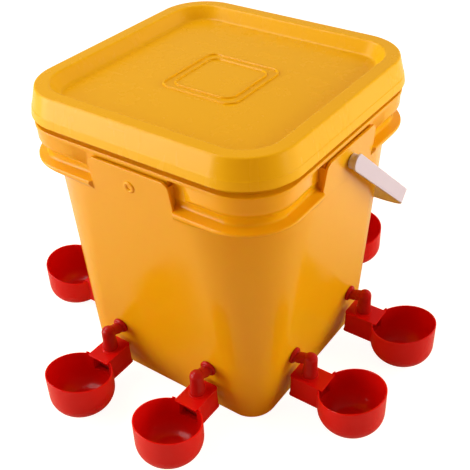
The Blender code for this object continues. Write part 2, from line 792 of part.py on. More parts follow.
def rim_cutter_mesh():
    """Slants the bowl's rim up from the housing, and turns its ends up beside the roof."""
    def rim(x):
        return HOUSING_TOP + RIM_RISE + (x - BOWL_OUT) * math.tan(RIM_SLANT)

    back = -2 * HOUSING_BACK
    far = BOWL_OUT + 1.2 * BOWL_RADIUS
    high = HOUSING_TOP + 3 * RIM_RISE + 2 * TIP_HEIGHT
    inside_roof = HOUSING_TOP - ROOF / 4
    start = bowl_meets_housing() - BOWL_WALL / 2
    end = start + TIP_LENGTH
    outline = [(back, high), (back, inside_roof), (start, inside_roof),
               (start, HOUSING_TOP + TIP_HEIGHT), (start + TIP_LENGTH / 3, HOUSING_TOP + TIP_HEIGHT),
               (end, rim(end)), (far, rim(far)), (far, high)]
    slab = plate_mesh(outline, 4 * BOWL_RADIUS)
    half = HOUSING_HALF - BOWL_WALL / 4
    over_roof = box_mesh((start - BOWL_WALL, -half, inside_roof),
                         (HOUSING_FRONT, half, high - RIM_RISE))
    return union(moved(slab, Matrix.Rotation(math.radians(90), 4, "X")), over_roof)


def chamber_low():
    return (-HOUSING_BACK + CHAMBER_WALL, -HOUSING_HALF + CHAMBER_WALL,
            HOUSING_BOTTOM + CHAMBER_WALL)


def chamber_high():
    return (CHAMBER_FRONT, HOUSING_HALF - CHAMBER_WALL, HOUSING_TOP - ROOF)


def mouth_mesh():
    """The water's way from the chamber into the bowl, under the roof's front edge."""
    right = arc((MOUTH_HALF - MOUTH_CORNER, MOUTH_TOP - MOUTH_CORNER), MOUTH_CORNER, 0, 90, 2)
    left = [(-x, y) for x, y in reversed(right)]
    outline = [(-MOUTH_HALF, MOUTH_SILL), (MOUTH_HALF, MOUTH_SILL), *right, *left]
    first = CHAMBER_FRONT - CHAMBER_WALL / 2
    last = bowl_meets_housing() + 2 * BOWL_WALL
    mouth = plate_mesh(outline, last - first)
    return moved(mouth, upright(Matrix.Translation(((first + last) / 2, 0, 0))))


def cup_mesh():
    body = flared(housing_mesh(bowl_meets_housing() + BOWL_WALL, HOUSING_BOTTOM,
                               HOUSING_TOP - ROOF / 2))
    cup = union(body, bowl_mesh(0.0))
    cup = cut(cup, rim_cutter_mesh(), bowl_mesh(BOWL_WALL))
    roof = housing_mesh(HOUSING_FRONT, HOUSING_TOP - ROOF - FIT_GAP, HOUSING_TOP)
    collar = rod_mesh((0, 0, HOUSING_TOP - ROOF / 2), (0, 0, collar_top()), COLLAR_RADIUS,
                      COLLAR_RADIUS, ROUND_STEPS)
    cup = union(cup, roof, collar)
    cup = cut(cup, box_mesh(chamber_low(), chamber_high()), mouth_mesh())
    socket = drill_mesh((0, 0, HOUSING_TOP - 2 * ROOF), (0, 0, HOUSING_TOP + 2 * COLLAR_HEIGHT),
                        SPIGOT_RADIUS + RUNNING_GAP, ROUND_STEPS)
    seat = drill_mesh((0, 0, collar_top() - 2 * RING_WIRE - FIT_GAP), (0, 0, 2 * HOUSING_TOP),
                      ring_middle() + RING_WIRE + FIT_GAP, ROUND_STEPS)
    return cut(cup, socket, seat)


# Floats

def seal_top():
    return nozzle_tip() - FIT_GAP - FLOAT_TRAVEL


def float_top():
    return seal_top() - SEAL_HEIGHT + SEAL_POCKET - FIT_GAP


def float_mesh():
    low, high = Vector(chamber_low()), Vector(chamber_high())
    gap = FLOAT_SIDE_GAP
    block = box_mesh((low.x + gap, low.y + gap, low.z + FIT_GAP),
                     (high.x - gap, high.y - gap, float_top()))
    pocket = drill_mesh((0, 0, float_top() - SEAL_POCKET), (0, 0, float_top() + SEAL_HEIGHT),
                        SEAL_RADIUS + FIT_GAP)
    return cut(block, pocket)


def seal_mesh():
    return rod_mesh((0, 0, seal_top() - SEAL_HEIGHT), (0, 0, seal_top()), SEAL_RADIUS, SEAL_RADIUS)


# Assembly

def add_part(name, mesh, material, collection, parent=None):
    mesh.name = name
    if not mesh.materials:
        mesh.materials.append(material)
        smooth(mesh)
    part = bpy.data.objects.new(name, mesh)
    collection.objects.link(part)
    part.parent = parent
    return part


def add_empty(name, collection, matrix):
    empty = bpy.data.objects.new(name, None)
    empty.empty_display_size = 0.02
    empty.matrix_world = matrix
    collection.objects.link(empty)
    return empty


def build():
    clear_scene()
    drinker = new_collection("poultry_drinker")
    yellow = new_material("pail_yellow", (0.85, 0.42, 0.03), 0.32)
    lid_yellow = new_material("lid_yellow", (0.86, 0.43, 0.03), 0.34)
    white = new_material("handle_white", (0.80, 0.78, 0.80), 0.45)
    red = new_material("cup_red", (0.55, 0.012, 0.008), 0.25)
    fitting_red = new_material("fitting_red", (0.50, 0.010, 0.008), 0.28)
    float_red = new_material("float_red", (0.45, 0.02, 0.02), 0.4)
    rubber = new_material("seal_rubber", (0.02, 0.02, 0.02), 0.7)
    silicone = new_material("gasket_silicone", (0.70, 0.68, 0.62), 0.6)

    add_part("bucket", pail_mesh(), yellow, drinker)
    add_part("lid", loft_mesh(soften(lid_profile())), lid_yellow, drinker)
    add_part("lid_gasket", loft_mesh(gasket_profile(), closed=True), silicone, drinker)

    pivot = add_empty("handle_pivot", drinker, Matrix.Translation((0, 0, PIVOT_HEIGHT)))
    add_part("carry_handle", handle_mesh(), white, drinker, pivot)

    cup, elbow, block, seal = cup_mesh(), elbow_mesh(), float_mesh(), seal_mesh()
    nut, washer, ring = nut_mesh(), washer_mesh(), ring_mesh()
    for number, side, across in stations():
        place = side_matrix(side) @ Matrix.Translation((STEM_X, across, 0))
        stem = add_empty(f"stem_axis_{number}", drinker, place)
        add_part(f"elbow_{number}", elbow, fitting_red, drinker, stem)
        add_part(f"cup_{number}", cup, red, drinker, stem)
        add_part(f"float_{number}", block, float_red, drinker, stem)
        add_part(f"float_seal_{number}", seal, rubber, drinker, stem)
        add_part(f"stem_o_ring_{number}", ring, rubber, drinker, stem)
        wall_place = side_matrix(side) @ wall_frame(across, FITTING_HEIGHT)
        wall = add_empty(f"wall_hole_{number}", drinker, wall_place)
        add_part(f"lock_nut_{number}", nut, fitting_red, drinker, wall)
        add_part(f"wall_washer_{number}", washer, rubber, drinker, wall)


build()
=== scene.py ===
# Looks of the square poultry drinker: a yellow pail with its lid, a white carry handle,
# and eight red float cups on elbows. Metres, +Z up, the floor at zero.
import math

import bmesh
import bpy
from mathutils import Euler, Matrix, Vector


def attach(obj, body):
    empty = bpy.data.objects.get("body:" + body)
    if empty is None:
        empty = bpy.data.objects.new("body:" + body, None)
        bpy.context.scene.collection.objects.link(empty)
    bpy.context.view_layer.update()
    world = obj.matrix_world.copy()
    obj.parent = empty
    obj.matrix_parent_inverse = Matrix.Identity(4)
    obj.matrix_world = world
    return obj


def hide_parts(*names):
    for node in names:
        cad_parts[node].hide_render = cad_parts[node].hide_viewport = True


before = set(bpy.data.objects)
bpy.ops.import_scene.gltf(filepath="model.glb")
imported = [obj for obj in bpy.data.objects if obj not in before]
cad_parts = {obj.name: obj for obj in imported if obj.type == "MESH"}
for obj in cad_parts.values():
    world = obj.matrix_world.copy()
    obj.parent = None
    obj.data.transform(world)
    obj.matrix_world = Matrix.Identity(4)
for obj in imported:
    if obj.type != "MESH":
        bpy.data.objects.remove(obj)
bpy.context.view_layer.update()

print("stage: frame loaded,", len(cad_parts), "nodes")


# Modelling helpers

mergeDistance = 0.000005


def deselectAll():
    if bpy.context.mode != "OBJECT":
        bpy.ops.object.mode_set(mode="OBJECT")
    bpy.ops.object.select_all(action="DESELECT")


def makeActive(piece):
    deselectAll()
    piece.select_set(True)
    bpy.context.view_layer.objects.active = piece


def startEditing(piece, kind="VERT"):
    makeActive(piece)
    bpy.ops.object.mode_set(mode="EDIT")
    bpy.ops.mesh.select_mode(type=kind)
    bpy.ops.mesh.select_all(action="DESELECT")


def stopEditing():
    bpy.ops.object.mode_set(mode="OBJECT")


def selectAll():
    bpy.ops.mesh.select_all(action="SELECT")


def drawOut(x, y, z):
    bpy.ops.mesh.extrude_region_move(TRANSFORM_OT_translate={"value": (x, y, z)})


def moveSelected(x, y, z):
    bpy.ops.transform.translate(value=(x, y, z))


def scaleSelected(values, centre):
    bpy.ops.transform.resize(value=values, center_override=centre)


def bevelSelected(offset, segments, affect="EDGES"):
    bpy.ops.mesh.bevel(offset=offset, segments=segments, profile=0.5, affect=affect)


def selectPoints(wanted):
    shape = bmesh.from_edit_mesh(bpy.context.object.data)
    for point in shape.verts:
        point.select_set(bool(wanted(point.co)))
    shape.select_flush_mode()
    bmesh.update_edit_mesh(bpy.context.object.data)


def selectFaces(wanted):
    bpy.ops.mesh.select_mode(type="FACE")
    shape = bmesh.from_edit_mesh(bpy.context.object.data)
    for face in shape.faces:
        face.select_set(bool(wanted(face.calc_center_median(), face.normal)))
    bmesh.update_edit_mesh(bpy.context.object.data)


def selectEdges(wanted):
    bpy.ops.mesh.select_mode(type="EDGE")
    shape = bmesh.from_edit_mesh(bpy.context.object.data)
    for edge in shape.edges:
        edge.select_set(bool(wanted(edge.verts[0].co, edge.verts[1].co)))
    bmesh.update_edit_mesh(bpy.context.object.data)


def settle(piece):
    makeActive(piece)
    bpy.ops.object.transform_apply(location=True, rotation=True, scale=True)


def named(name):
    # names the primitive just added, and puts its place into its mesh
    piece = bpy.context.object
    piece.name = name
    settle(piece)
    return piece


def placed(piece, matrix):
    piece.matrix_world = matrix
    bpy.context.view_layer.update()
    settle(piece)
    return piece


def cleaned(piece):
    startEditing(piece)
    selectAll()
    bpy.ops.mesh.remove_doubles(threshold=mergeDistance)
    bpy.ops.mesh.normals_make_consistent(inside=False)
    stopEditing()
    return piece


def modified(piece, kind, **values):
    makeActive(piece)
    step = piece.modifiers.new(kind.lower(), kind)
    for name, value in values.items():
        setattr(step, name, value)
    bpy.ops.object.modifier_apply(modifier=step.name)
    return piece


def combined(piece, tool, operation):
    modified(piece, "BOOLEAN", object=tool, operation=operation, solver="EXACT")
    bpy.data.objects.remove(tool, do_unlink=True)
    return piece


def joined(pieces):
    makeActive(pieces[0])
    for piece in pieces:
        piece.select_set(True)
    bpy.ops.object.join()
    return pieces[0]


def copied(piece, name, matrix):
    makeActive(piece)
    bpy.ops.object.duplicate(linked=False)
    twin = bpy.context.object
    twin.name = name
    return placed(twin, matrix)


def bevelled(piece, width, segments, angle):
    return modified(piece, "BEVEL", width=width, segments=segments, limit_method="ANGLE",
                    angle_limit=math.radians(angle))


def smoothed(piece, angle):
    makeActive(piece)
    bpy.ops.object.shade_smooth_by_angle(angle=math.radians(angle))
    return modified(piece, "WEIGHTED_NORMAL", keep_sharp=True, weight=60)


def softRows(corners, steps=4):
    # each corner is (half width, corner radius, height, rounding distance)
    rows = []
    for index, (half, corner, height, distance) in enumerate(corners):
        point = Vector((half, corner, height))
        if not distance:
            rows.append(point)
            continue
        ends = []
        for neighbour in (corners[index - 1], corners[(index + 1) % len(corners)]):
            way = Vector(neighbour[:3]) - point
            ends.append(point + way * (distance / math.hypot(way.x, way.z)))
        for step in range(steps + 1):
            t = step / steps
            rows.append(ends[0] * (1 - t) ** 2 + point * 2 * t * (1 - t) + ends[1] * t ** 2)
    return rows


def roundedSquare(name, rows, steps):
    # one corner is drawn out row by row, mirrored to four, and the sides are bridged
    half, corner, height = rows[0]
    centre = half - corner
    deselectAll()
    bpy.ops.mesh.primitive_circle_add(vertices=4 * steps, radius=corner, fill_type="NOTHING",
                                      location=(centre, centre, height))
    piece = named(name)
    startEditing(piece)
    near = 0.000002
    selectPoints(lambda p: p.x < centre - near or p.y < centre - near)
    bpy.ops.mesh.delete(type="VERT")
    for group, axis in (("towardsX", 1), ("towardsY", 0)):
        selectPoints(lambda p: abs(p[axis] - centre) < near)
        bpy.ops.object.vertex_group_assign_new()
        piece.vertex_groups[-1].name = group
    selectAll()
    for before, after in zip(rows, rows[1:]):
        drawOut(0, 0, after[2] - before[2])
        middle = before[0] - before[1]
        grow = after[1] / before[1]
        scaleSelected((grow, grow, 1), (middle, middle, after[2]))
        outwards = after[0] - after[1] - middle
        moveSelected(outwards, outwards, 0)
    stopEditing()
    modified(piece, "MIRROR", use_axis=(True, True, False), use_mirror_merge=False)
    startEditing(piece)
    for group, axis in (("towardsX", 0), ("towardsY", 1)):
        index = piece.vertex_groups[group].index
        for sign in (1, -1):
            shape = bmesh.from_edit_mesh(piece.data)
            weights = shape.verts.layers.deform.verify()
            for point in shape.verts:
                point.select_set(index in point[weights] and sign * point.co[axis] > 0)
            shape.select_flush_mode()
            bmesh.update_edit_mesh(piece.data)
            bpy.ops.mesh.bridge_edge_loops()
            bpy.ops.mesh.select_all(action="DESELECT")
    selectAll()
    bpy.ops.mesh.fill_holes(sides=0)
    stopEditing()
    piece.vertex_groups.clear()
    return cleaned(piece)


def turned(name, rows, sides):
    # rows are (radius, height) or (radius, height, slant); a circle is drawn out from row to row
    rows = [(*row, 0.0)[:3] for row in rows]
    deselectAll()
    bpy.ops.mesh.primitive_circle_add(vertices=sides, radius=rows[0][0], fill_type="NOTHING",
                                      location=(0, 0, rows[0][1]))
    piece = named(name)
    startEditing(piece)
    selectAll()
    for (radius, height, slant), (wider, higher, steeper) in zip(rows, rows[1:]):
        drawOut(0, 0, higher - height)
        middle = (0, 0, higher)
        grow = wider / radius
        if slant or steeper:
            bpy.ops.transform.rotate(value=steeper - slant, orient_axis="Y", center_override=middle)
            long = grow * math.cos(slant) / math.cos(steeper)
            scaleSelected((long, grow, long), middle)
        else:
            scaleSelected((grow, grow, 1), middle)
    selectAll()
    bpy.ops.mesh.fill_holes(sides=0)
    stopEditing()
    return cleaned(piece)


def box(name, low, high):
    deselectAll()
    low, high = Vector(low), Vector(high)
    bpy.ops.mesh.primitive_cube_add(size=1, location=(low + high) / 2, scale=high - low)
    return named(name)


def sideTurn(side):
    return Matrix.Rotation(math.radians(90 * (side - 1)), 4, "Z")


def painted(piece, material):
    piece.data.materials.clear()
    piece.data.materials.append(material)


lying = Matrix.Rotation(math.radians(90), 4, "Y")    # turns a piece's Z axis to +X


# Materials

skinNumbers = {"Flow Scale": "flowScale", "Flow Amount": "flowAmount", "Roughness": "roughness",
               "Roughness Change": "roughnessChange", "Grain Scale": "grainScale",
               "Grain Height": "grainHeight", "Wave Scale": "waveScale", "Wave Height": "waveHeight"}
markNumbers = {"Scratch Scale": "scratchScale", "Scratches": "scratches",
               "Haze Scale": "hazeScale", "Haze": "haze"}
surface = {"streakStretch": (1.0, 1.0, 0.12), "streakScale": 60.0,
           "scratchTurns": ((0.9, 0.2, 0.4), (0.3, 1.1, -0.7)), "scratchStretch": (1.0, 26.0, 26.0),
           "scratchEdge": (0.74, 0.80), "hazeEdge": (0.5, 0.72), "cleanShare": 0.25,
           "wornShare": 0.75, "wornLift": 0.2, "hazeRoughness": 0.12, "scratchRoughness": 0.25,
           "scratchHeight": -0.00002}


def newGroup(name, inputs, outputs):
    group = bpy.data.node_groups.new(name, "ShaderNodeTree")
    for way, sockets in (("INPUT", inputs), ("OUTPUT", outputs)):
        for socket, kind in sockets.items():
            group.interface.new_socket(name=socket, in_out=way, socket_type="NodeSocket" + kind)
    return group, group.nodes.new("NodeGroupInput"), group.nodes.new("NodeGroupOutput")


def addNode(tree, kind, **values):
    node = tree.nodes.new(kind)
    for name, value in values.items():
        setattr(node, name, value)
    return node


def feed(tree, sockets, values):
    for socket, value in zip(sockets, values):
        if isinstance(value, (int, float, tuple)):
            socket.default_value = value
        else:
            tree.links.new(value, socket)


def feedNamed(tree, node, **values):
    names = [name.replace("_", " ") for name in values]
    feed(tree, [node.inputs[name] for name in names], values.values())


def mathNode(tree, operation, *values):
    node = addNode(tree, "ShaderNodeMath", operation=operation)
    feed(tree, node.inputs, values)
    return node.outputs[0]


def noiseNode(tree, vector, scale, detail, roughness=0.5):
    node = addNode(tree, "ShaderNodeTexNoise")
    feedNamed(tree, node, Vector=vector, Scale=scale, Detail=detail, Roughness=roughness)
    return node.outputs["Fac"]


def stretched(tree, vector, scale, turn=(0.0, 0.0, 0.0)):
    node = addNode(tree, "ShaderNodeMapping")
    feedNamed(tree, node, Vector=vector, Rotation=turn, Scale=scale)
    return node.outputs["Vector"]


def ranged(tree, value, fromLow, fromHigh, toLow, toHigh):
    node = addNode(tree, "ShaderNodeMapRange")
    feedNamed(tree, node, Value=value, From_Min=fromLow, From_Max=fromHigh, To_Min=toLow,
              To_Max=toHigh)
    return node.outputs["Result"]


def mixedColour(tree, factor, first, second):
    node = addNode(tree, "ShaderNodeMix", data_type="RGBA")
    colours = [socket for socket in node.inputs if socket.type == "RGBA"]
    feed(tree, [node.inputs[0], *colours], (factor, first, second))
    return [socket for socket in node.outputs if socket.type == "RGBA"][0]


def mouldedGroup():
    # the skin of injection-moulded plastic: flow clouds in the tone, a fine grain, slow waves
    group, start, end = newGroup(
        "moulded skin",
        {"Vector": "Vector", "Colour": "Color", "Flow Colour": "Color",
         **dict.fromkeys(skinNumbers, "Float")},
        {"Colour": "Color", "Roughness": "Float", "Height": "Float"})
    take = start.outputs
    flow = noiseNode(group, take["Vector"], take["Flow Scale"], 4.0, 0.55)
    clouds = ranged(group, flow, 0.3, 0.7, 0.0, 1.0)
    blend = mathNode(group, "MULTIPLY", clouds, take["Flow Amount"])
    colour = mixedColour(group, blend, take["Colour"], take["Flow Colour"])
    along = stretched(group, take["Vector"], surface["streakStretch"])
    streaks = noiseNode(group, along, surface["streakScale"], 3.0)
    mottle = mathNode(group, "MULTIPLY_ADD", ranged(group, streaks, 0.25, 0.75, -0.5, 0.5),
                      take["Roughness Change"], take["Roughness"])
    grain = noiseNode(group, take["Vector"], take["Grain Scale"], 2.0, 0.6)
    waves = noiseNode(group, take["Vector"], take["Wave Scale"], 1.0, 0.4)
    height = mathNode(group, "ADD", mathNode(group, "MULTIPLY", grain, take["Grain Height"]),
                      mathNode(group, "MULTIPLY", waves, take["Wave Height"]))
    feedNamed(group, end, Colour=colour, Roughness=mottle, Height=height)
    return group


def handlingGroup():
    # fine scuffs and finger haze from handling: long thin scratches and dull patches
    group, start, end = newGroup(
        "handling marks", {"Vector": "Vector", **dict.fromkeys(markNumbers, "Float")},
        {"Mask": "Float", "Haze": "Float"})
    take = start.outputs
    lines = []
    for turn in surface["scratchTurns"]:
        along = stretched(group, take["Vector"], surface["scratchStretch"], turn)
        noise = noiseNode(group, along, take["Scratch Scale"], 0.0)
        lines.append(ranged(group, noise, *surface["scratchEdge"], 0.0, 1.0))
    clouds = noiseNode(group, take["Vector"], take["Haze Scale"], 3.0, 0.6)
    patches = ranged(group, clouds, *surface["hazeEdge"], 0.0, 1.0)
    broken = mathNode(group, "MULTIPLY", mathNode(group, "MAXIMUM", *lines),
                      ranged(group, patches, 0.0, 1.0, surface["cleanShare"], 1.0))
    feedNamed(group, end, Mask=mathNode(group, "MULTIPLY", broken, take["Scratches"]),
              Haze=mathNode(group, "MULTIPLY", patches, take["Haze"]))
    return group


mouldedSkin = mouldedGroup()
handlingMarks = handlingGroup()


def plastic(name, look):
    material = bpy.data.materials.new(name)
    material.use_nodes = True
    tree = material.node_tree
    shader = tree.nodes["Principled BSDF"]
    place = addNode(tree, "ShaderNodeTexCoord")
    skin = addNode(tree, "ShaderNodeGroup", node_tree=mouldedSkin)
    marks = addNode(tree, "ShaderNodeGroup", node_tree=handlingMarks)
    for node, numbers in ((skin, skinNumbers), (marks, markNumbers)):
        tree.links.new(place.outputs["Object"], node.inputs["Vector"])
        for socket, key in numbers.items():
            node.inputs[socket].default_value = look[key]
    skin.inputs["Colour"].default_value = (*look["colour"], 1)
    skin.inputs["Flow Colour"].default_value = (*look["flowColour"], 1)
    pale = [min(1.0, surface["wornShare"] * value + surface["wornLift"]) for value in look["colour"]]
    mask = marks.outputs["Mask"]
    worn = mixedColour(tree, mask, skin.outputs["Colour"], (*pale, 1))
    dulled = mathNode(tree, "MULTIPLY_ADD", marks.outputs["Haze"], surface["hazeRoughness"],
                      skin.outputs["Roughness"])
    rough = mathNode(tree, "MULTIPLY_ADD", mask, surface["scratchRoughness"], dulled)
    height = mathNode(tree, "MULTIPLY_ADD", mask, surface["scratchHeight"], skin.outputs["Height"])
    bump = addNode(tree, "ShaderNodeBump")
    feedNamed(tree, bump, Strength=1.0, Distance=1.0, Height=height)
    feedNamed(tree, shader, Base_Color=worn, Roughness=rough, Normal=bump.outputs["Normal"],
              Specular_IOR_Level=look["gloss"], Subsurface_Weight=look["glow"],
              Subsurface_Radius=look["glowRadius"], Subsurface_Scale=look["glowScale"])
    material.diffuse_color = (*look["colour"], 1)
    return material


pailLook = {"colour": (0.87, 0.45, 0.004), "flowColour": (0.85, 0.41, 0.002), "flowScale": 7.0,
            "flowAmount": 0.2, "gloss": 0.4, "roughness": 0.2, "roughnessChange": 0.06,
            "grainScale": 1500.0, "grainHeight": 0.0000003, "waveScale": 14.0, "waveHeight": 0.00012,
            "scratchScale": 9.0, "scratches": 0.03, "hazeScale": 12.0, "haze": 0.2,
            "glow": 0.35, "glowRadius": (1.0, 0.35, 0.03), "glowScale": 0.004}
# painted light: the lid is the pail's plastic, given a lighter, less orange yellow to offset the orange
# fill light on its top
lidLook = dict(pailLook, colour=(0.88, 0.515, 0.004), flowColour=(0.87, 0.50, 0.003), gloss=0.28,
               glow=0.0, roughness=0.27, waveHeight=0.00001, flowAmount=0.1, haze=0.05,
               roughnessChange=0.02, scratches=0.02)
handleLook = dict(pailLook, colour=(0.64, 0.63, 0.73), flowColour=(0.60, 0.59, 0.68), roughness=0.42,
                  grainScale=900.0, grainHeight=0.00002, waveScale=40.0, waveHeight=0.00005,
                  scratches=0.2, scratchScale=20.0, glow=0.15, glowRadius=(1.0, 0.9, 0.8),
                  glowScale=0.002)
cupLook = dict(pailLook, colour=(0.66, 0.006, 0.004), flowColour=(0.60, 0.003, 0.002), gloss=0.24,
               flowScale=30.0, grainScale=2200.0, grainHeight=0.000005, waveScale=60.0,
               waveHeight=0.00006, scratchScale=40.0, hazeScale=40.0, glow=0.5,
               glowRadius=(1.0, 0.1, 0.05), glowScale=0.006)
fittingLook = dict(cupLook, colour=(0.45, 0.010, 0.008), flowColour=(0.40, 0.006, 0.005),
                   roughness=0.24, grainHeight=0.00001)
floatLook = dict(cupLook, colour=(0.45, 0.02, 0.02), roughness=0.4, grainHeight=0.00002)
rubberLook = dict(pailLook, colour=(0.022, 0.022, 0.024), flowColour=(0.05, 0.048, 0.045),
                  flowScale=80.0, roughness=0.62, grainScale=1800.0, grainHeight=0.00003,
                  waveHeight=0.00002, scratches=0.05, haze=0.8, glow=0.0)
siliconeLook = dict(rubberLook, colour=(0.70, 0.68, 0.62), flowColour=(0.62, 0.60, 0.53), roughness=0.5)

pailYellow = plastic("pail yellow", pailLook)
lidYellow = plastic("lid yellow", lidLook)
handleWhite = plastic("handle white", handleLook)
cupRed = plastic("cup red", cupLook)
fittingRed = plastic("fitting red", fittingLook)
floatRed = plastic("float red", floatLook)
sealRubber = plastic("seal rubber", rubberLook)
gasketSilicone = plastic("gasket silicone", siliconeLook)
print("stage: materials made")


# Pail

pail = {"baseHalf": 0.1258, "widening": 0.1041, "baseCorner": 0.030, "cornerGrowth": 0.237,
        "wall": 0.0026, "floor": 0.0032, "baseRounding": 0.004, "insideRounding": 0.008,
        "ledgeHeight": 0.2835, "lipOut": 0.0033, "lipCorner": 0.059, "lipThickness": 0.0035,
        "lipSlope": 0.006, "ledgeWidth": 0.0114, "ledgeRise": 0.0025, "neckCorner": 0.044,
        "neckHeight": 0.008, "coveHeight": 0.009, "bandOut": 0.008, "bandCorner": 0.054,
        "bandHeight": 0.015, "flangeOut": 0.001, "flangeThickness": 0.004, "grooveHeight": 0.008,
        "rimFlare": 0.0025, "rimRounding": 0.0006, "rimTop": 0.3548, "rimCorner": 0.0525,
        "cornerSteps": 18}


def wallHalf(height):
    return pail["baseHalf"] + pail["widening"] * height


def wallCorner(height):
    return pail["baseCorner"] + pail["cornerGrowth"] * height


ledgeHeight = pail["ledgeHeight"]
lipHalf = wallHalf(ledgeHeight) + pail["lipOut"]
neckHalf = lipHalf - pail["ledgeWidth"]
neckFoot = ledgeHeight + pail["ledgeRise"]
bandHalf = neckHalf + pail["bandOut"]
bandFoot = neckFoot + pail["neckHeight"] + pail["coveHeight"]
flangeFoot = bandFoot + pail["bandHeight"]
flangeTop = flangeFoot + pail["flangeThickness"]
skirtFoot = flangeTop + pail["grooveHeight"]
rimHalf = neckHalf + pail["rimFlare"]
wallTilt = math.atan(pail["widening"])


def wallPlace(across, height):
    # on the +X side's face: X out of the wall, Y along it, Z up its slope
    return Matrix.Translation((wallHalf(height), across, height)) @ Matrix.Rotation(wallTilt, 4, "Y")


def pailRows():
    lipFoot = ledgeHeight - pail["lipThickness"]
    slopeFoot = lipFoot - pail["lipSlope"]
    shoulder = ledgeHeight - pail["wall"]
    wall = pail["wall"]
    innerNeck, innerCorner = neckHalf - wall, pail["neckCorner"] - wall
    coveFoot = neckFoot + pail["neckHeight"]
    flange, flangeCorner = bandHalf + pail["flangeOut"], pail["bandCorner"] + pail["flangeOut"]
    rimEdge, rimCorner, rimTop = pail["rimRounding"], pail["rimCorner"], pail["rimTop"]
    rounding, inside = pail["baseRounding"], pail["insideRounding"]
    floor = pail["floor"]
    return softRows([
        (pail["baseHalf"] - 2 * rounding, pail["baseCorner"] - 2 * rounding, 0.0, 0.0),
        (pail["baseHalf"], pail["baseCorner"], 0.0, rounding),
        (wallHalf(slopeFoot), wallCorner(slopeFoot), slopeFoot, 0.002),
        (lipHalf, pail["lipCorner"], lipFoot, 0.0012),
        (lipHalf, pail["lipCorner"], ledgeHeight, 0.0014),
        (neckHalf, pail["neckCorner"], neckFoot, 0.0022),
        (neckHalf, pail["neckCorner"], coveFoot, pail["coveHeight"] / 2),
        (bandHalf, pail["bandCorner"], bandFoot, pail["coveHeight"] / 3),
        (bandHalf, pail["bandCorner"], flangeFoot, 0.0004),
        (flange, flangeCorner, flangeFoot, 0.0004),
        (flange, flangeCorner, flangeTop, 0.0012),
        (rimHalf, rimCorner, flangeTop, 0.0008),
        (rimHalf, rimCorner, rimTop, rimEdge),
        (rimHalf - wall, rimCorner - wall, rimTop, rimEdge),
        (rimHalf - wall, rimCorner - wall, skirtFoot, 0.001),
        (innerNeck, innerCorner, flangeFoot, 0.002),
        (innerNeck, innerCorner, neckFoot - wall, 0.002),
        (wallHalf(shoulder) - wall, wallCorner(shoulder) - wall, shoulder, 0.002),
        (wallHalf(floor) - wall, wallCorner(floor) - wall, floor, inside),
        (pail["baseHalf"] - wall - 2 * inside, pail["baseCorner"] - wall - 2 * inside, floor, 0.0),
    ])


ear = {"topHalf": 0.0498, "footHalf": 0.0525, "height": 0.0350, "corner": 0.008, "thickness": 0.0028,
       "proud": 0.0002, "edge": 0.0008, "roomTopHalf": 0.060, "roomFootHalf": 0.0625,
       "roomFloor": 0.0010, "roomSpread": 1.72, "roomDepth": 0.024, "headRoom": 0.0086,
       "trimInset": 0.0016, "trimDepth": 0.01, "trimSpare": 0.001, "trimSpread": 1.15,
       "returnHalf": 0.0493, "returnWall": 0.0016, "returnDepth": 0.0115, "returnFoot": 0.003,
       "returnTop": 0.029, "fillTop": 0.0135, "fillFace": 0.1538, "fillInset": 0.003,
       "bossRadius": 0.0066, "bossHeight": 0.0014, "bossHole": 0.0026, "pivotAboveLedge": 0.011,
       "pinHole": 0.0047}
pivotHeight = ledgeHeight + ear["pivotAboveLedge"]
earFoot = ledgeHeight - pail["lipThickness"]


def standingPlate(name, corners, low, high, rounding=None, edge=0.0):
    # a flat plate that faces +X: its outline in YZ is filled and drawn out to its thickness
    deselectAll()
    bpy.ops.mesh.primitive_plane_add(size=1)
    piece = bpy.context.object
    piece.name = name
    startEditing(piece)
    near, aside = 0.0001, 10    # a corner that is done waits aside, out of the next one's way
    for (x, y), (across, up) in zip(((-0.5, -0.5), (0.5, -0.5), (0.5, 0.5), (-0.5, 0.5)), corners):
        selectPoints(lambda p: abs(p.x - x) < 0.01 and abs(p.y - y) < 0.01 and p.z == 0)
        moveSelected(across - x + aside, up - y, 0)
    selectAll()
    moveSelected(-aside, 0, 0)
    if rounding:
        top = max(up for across, up in corners)
        selectPoints(lambda p: abs(p.y - top) < near)
        bevelSelected(rounding, 10, "VERTICES")
    bpy.ops.mesh.select_mode(type="FACE")
    selectAll()
    drawOut(0, 0, high - low)
    if edge:
        foot, middle = min(up for across, up in corners), (high - low) / 2
        selectEdges(lambda a, b: a.z > middle < b.z
                    and not (abs(a.y - foot) < near and abs(b.y - foot) < near))
        bevelSelected(edge, 3)
    stopEditing()
    cleaned(piece)
    upright = Matrix(((0, 0, 1, low), (1, 0, 0, 0), (0, 1, 0, 0), (0, 0, 0, 1)))
    return placed(piece, upright)


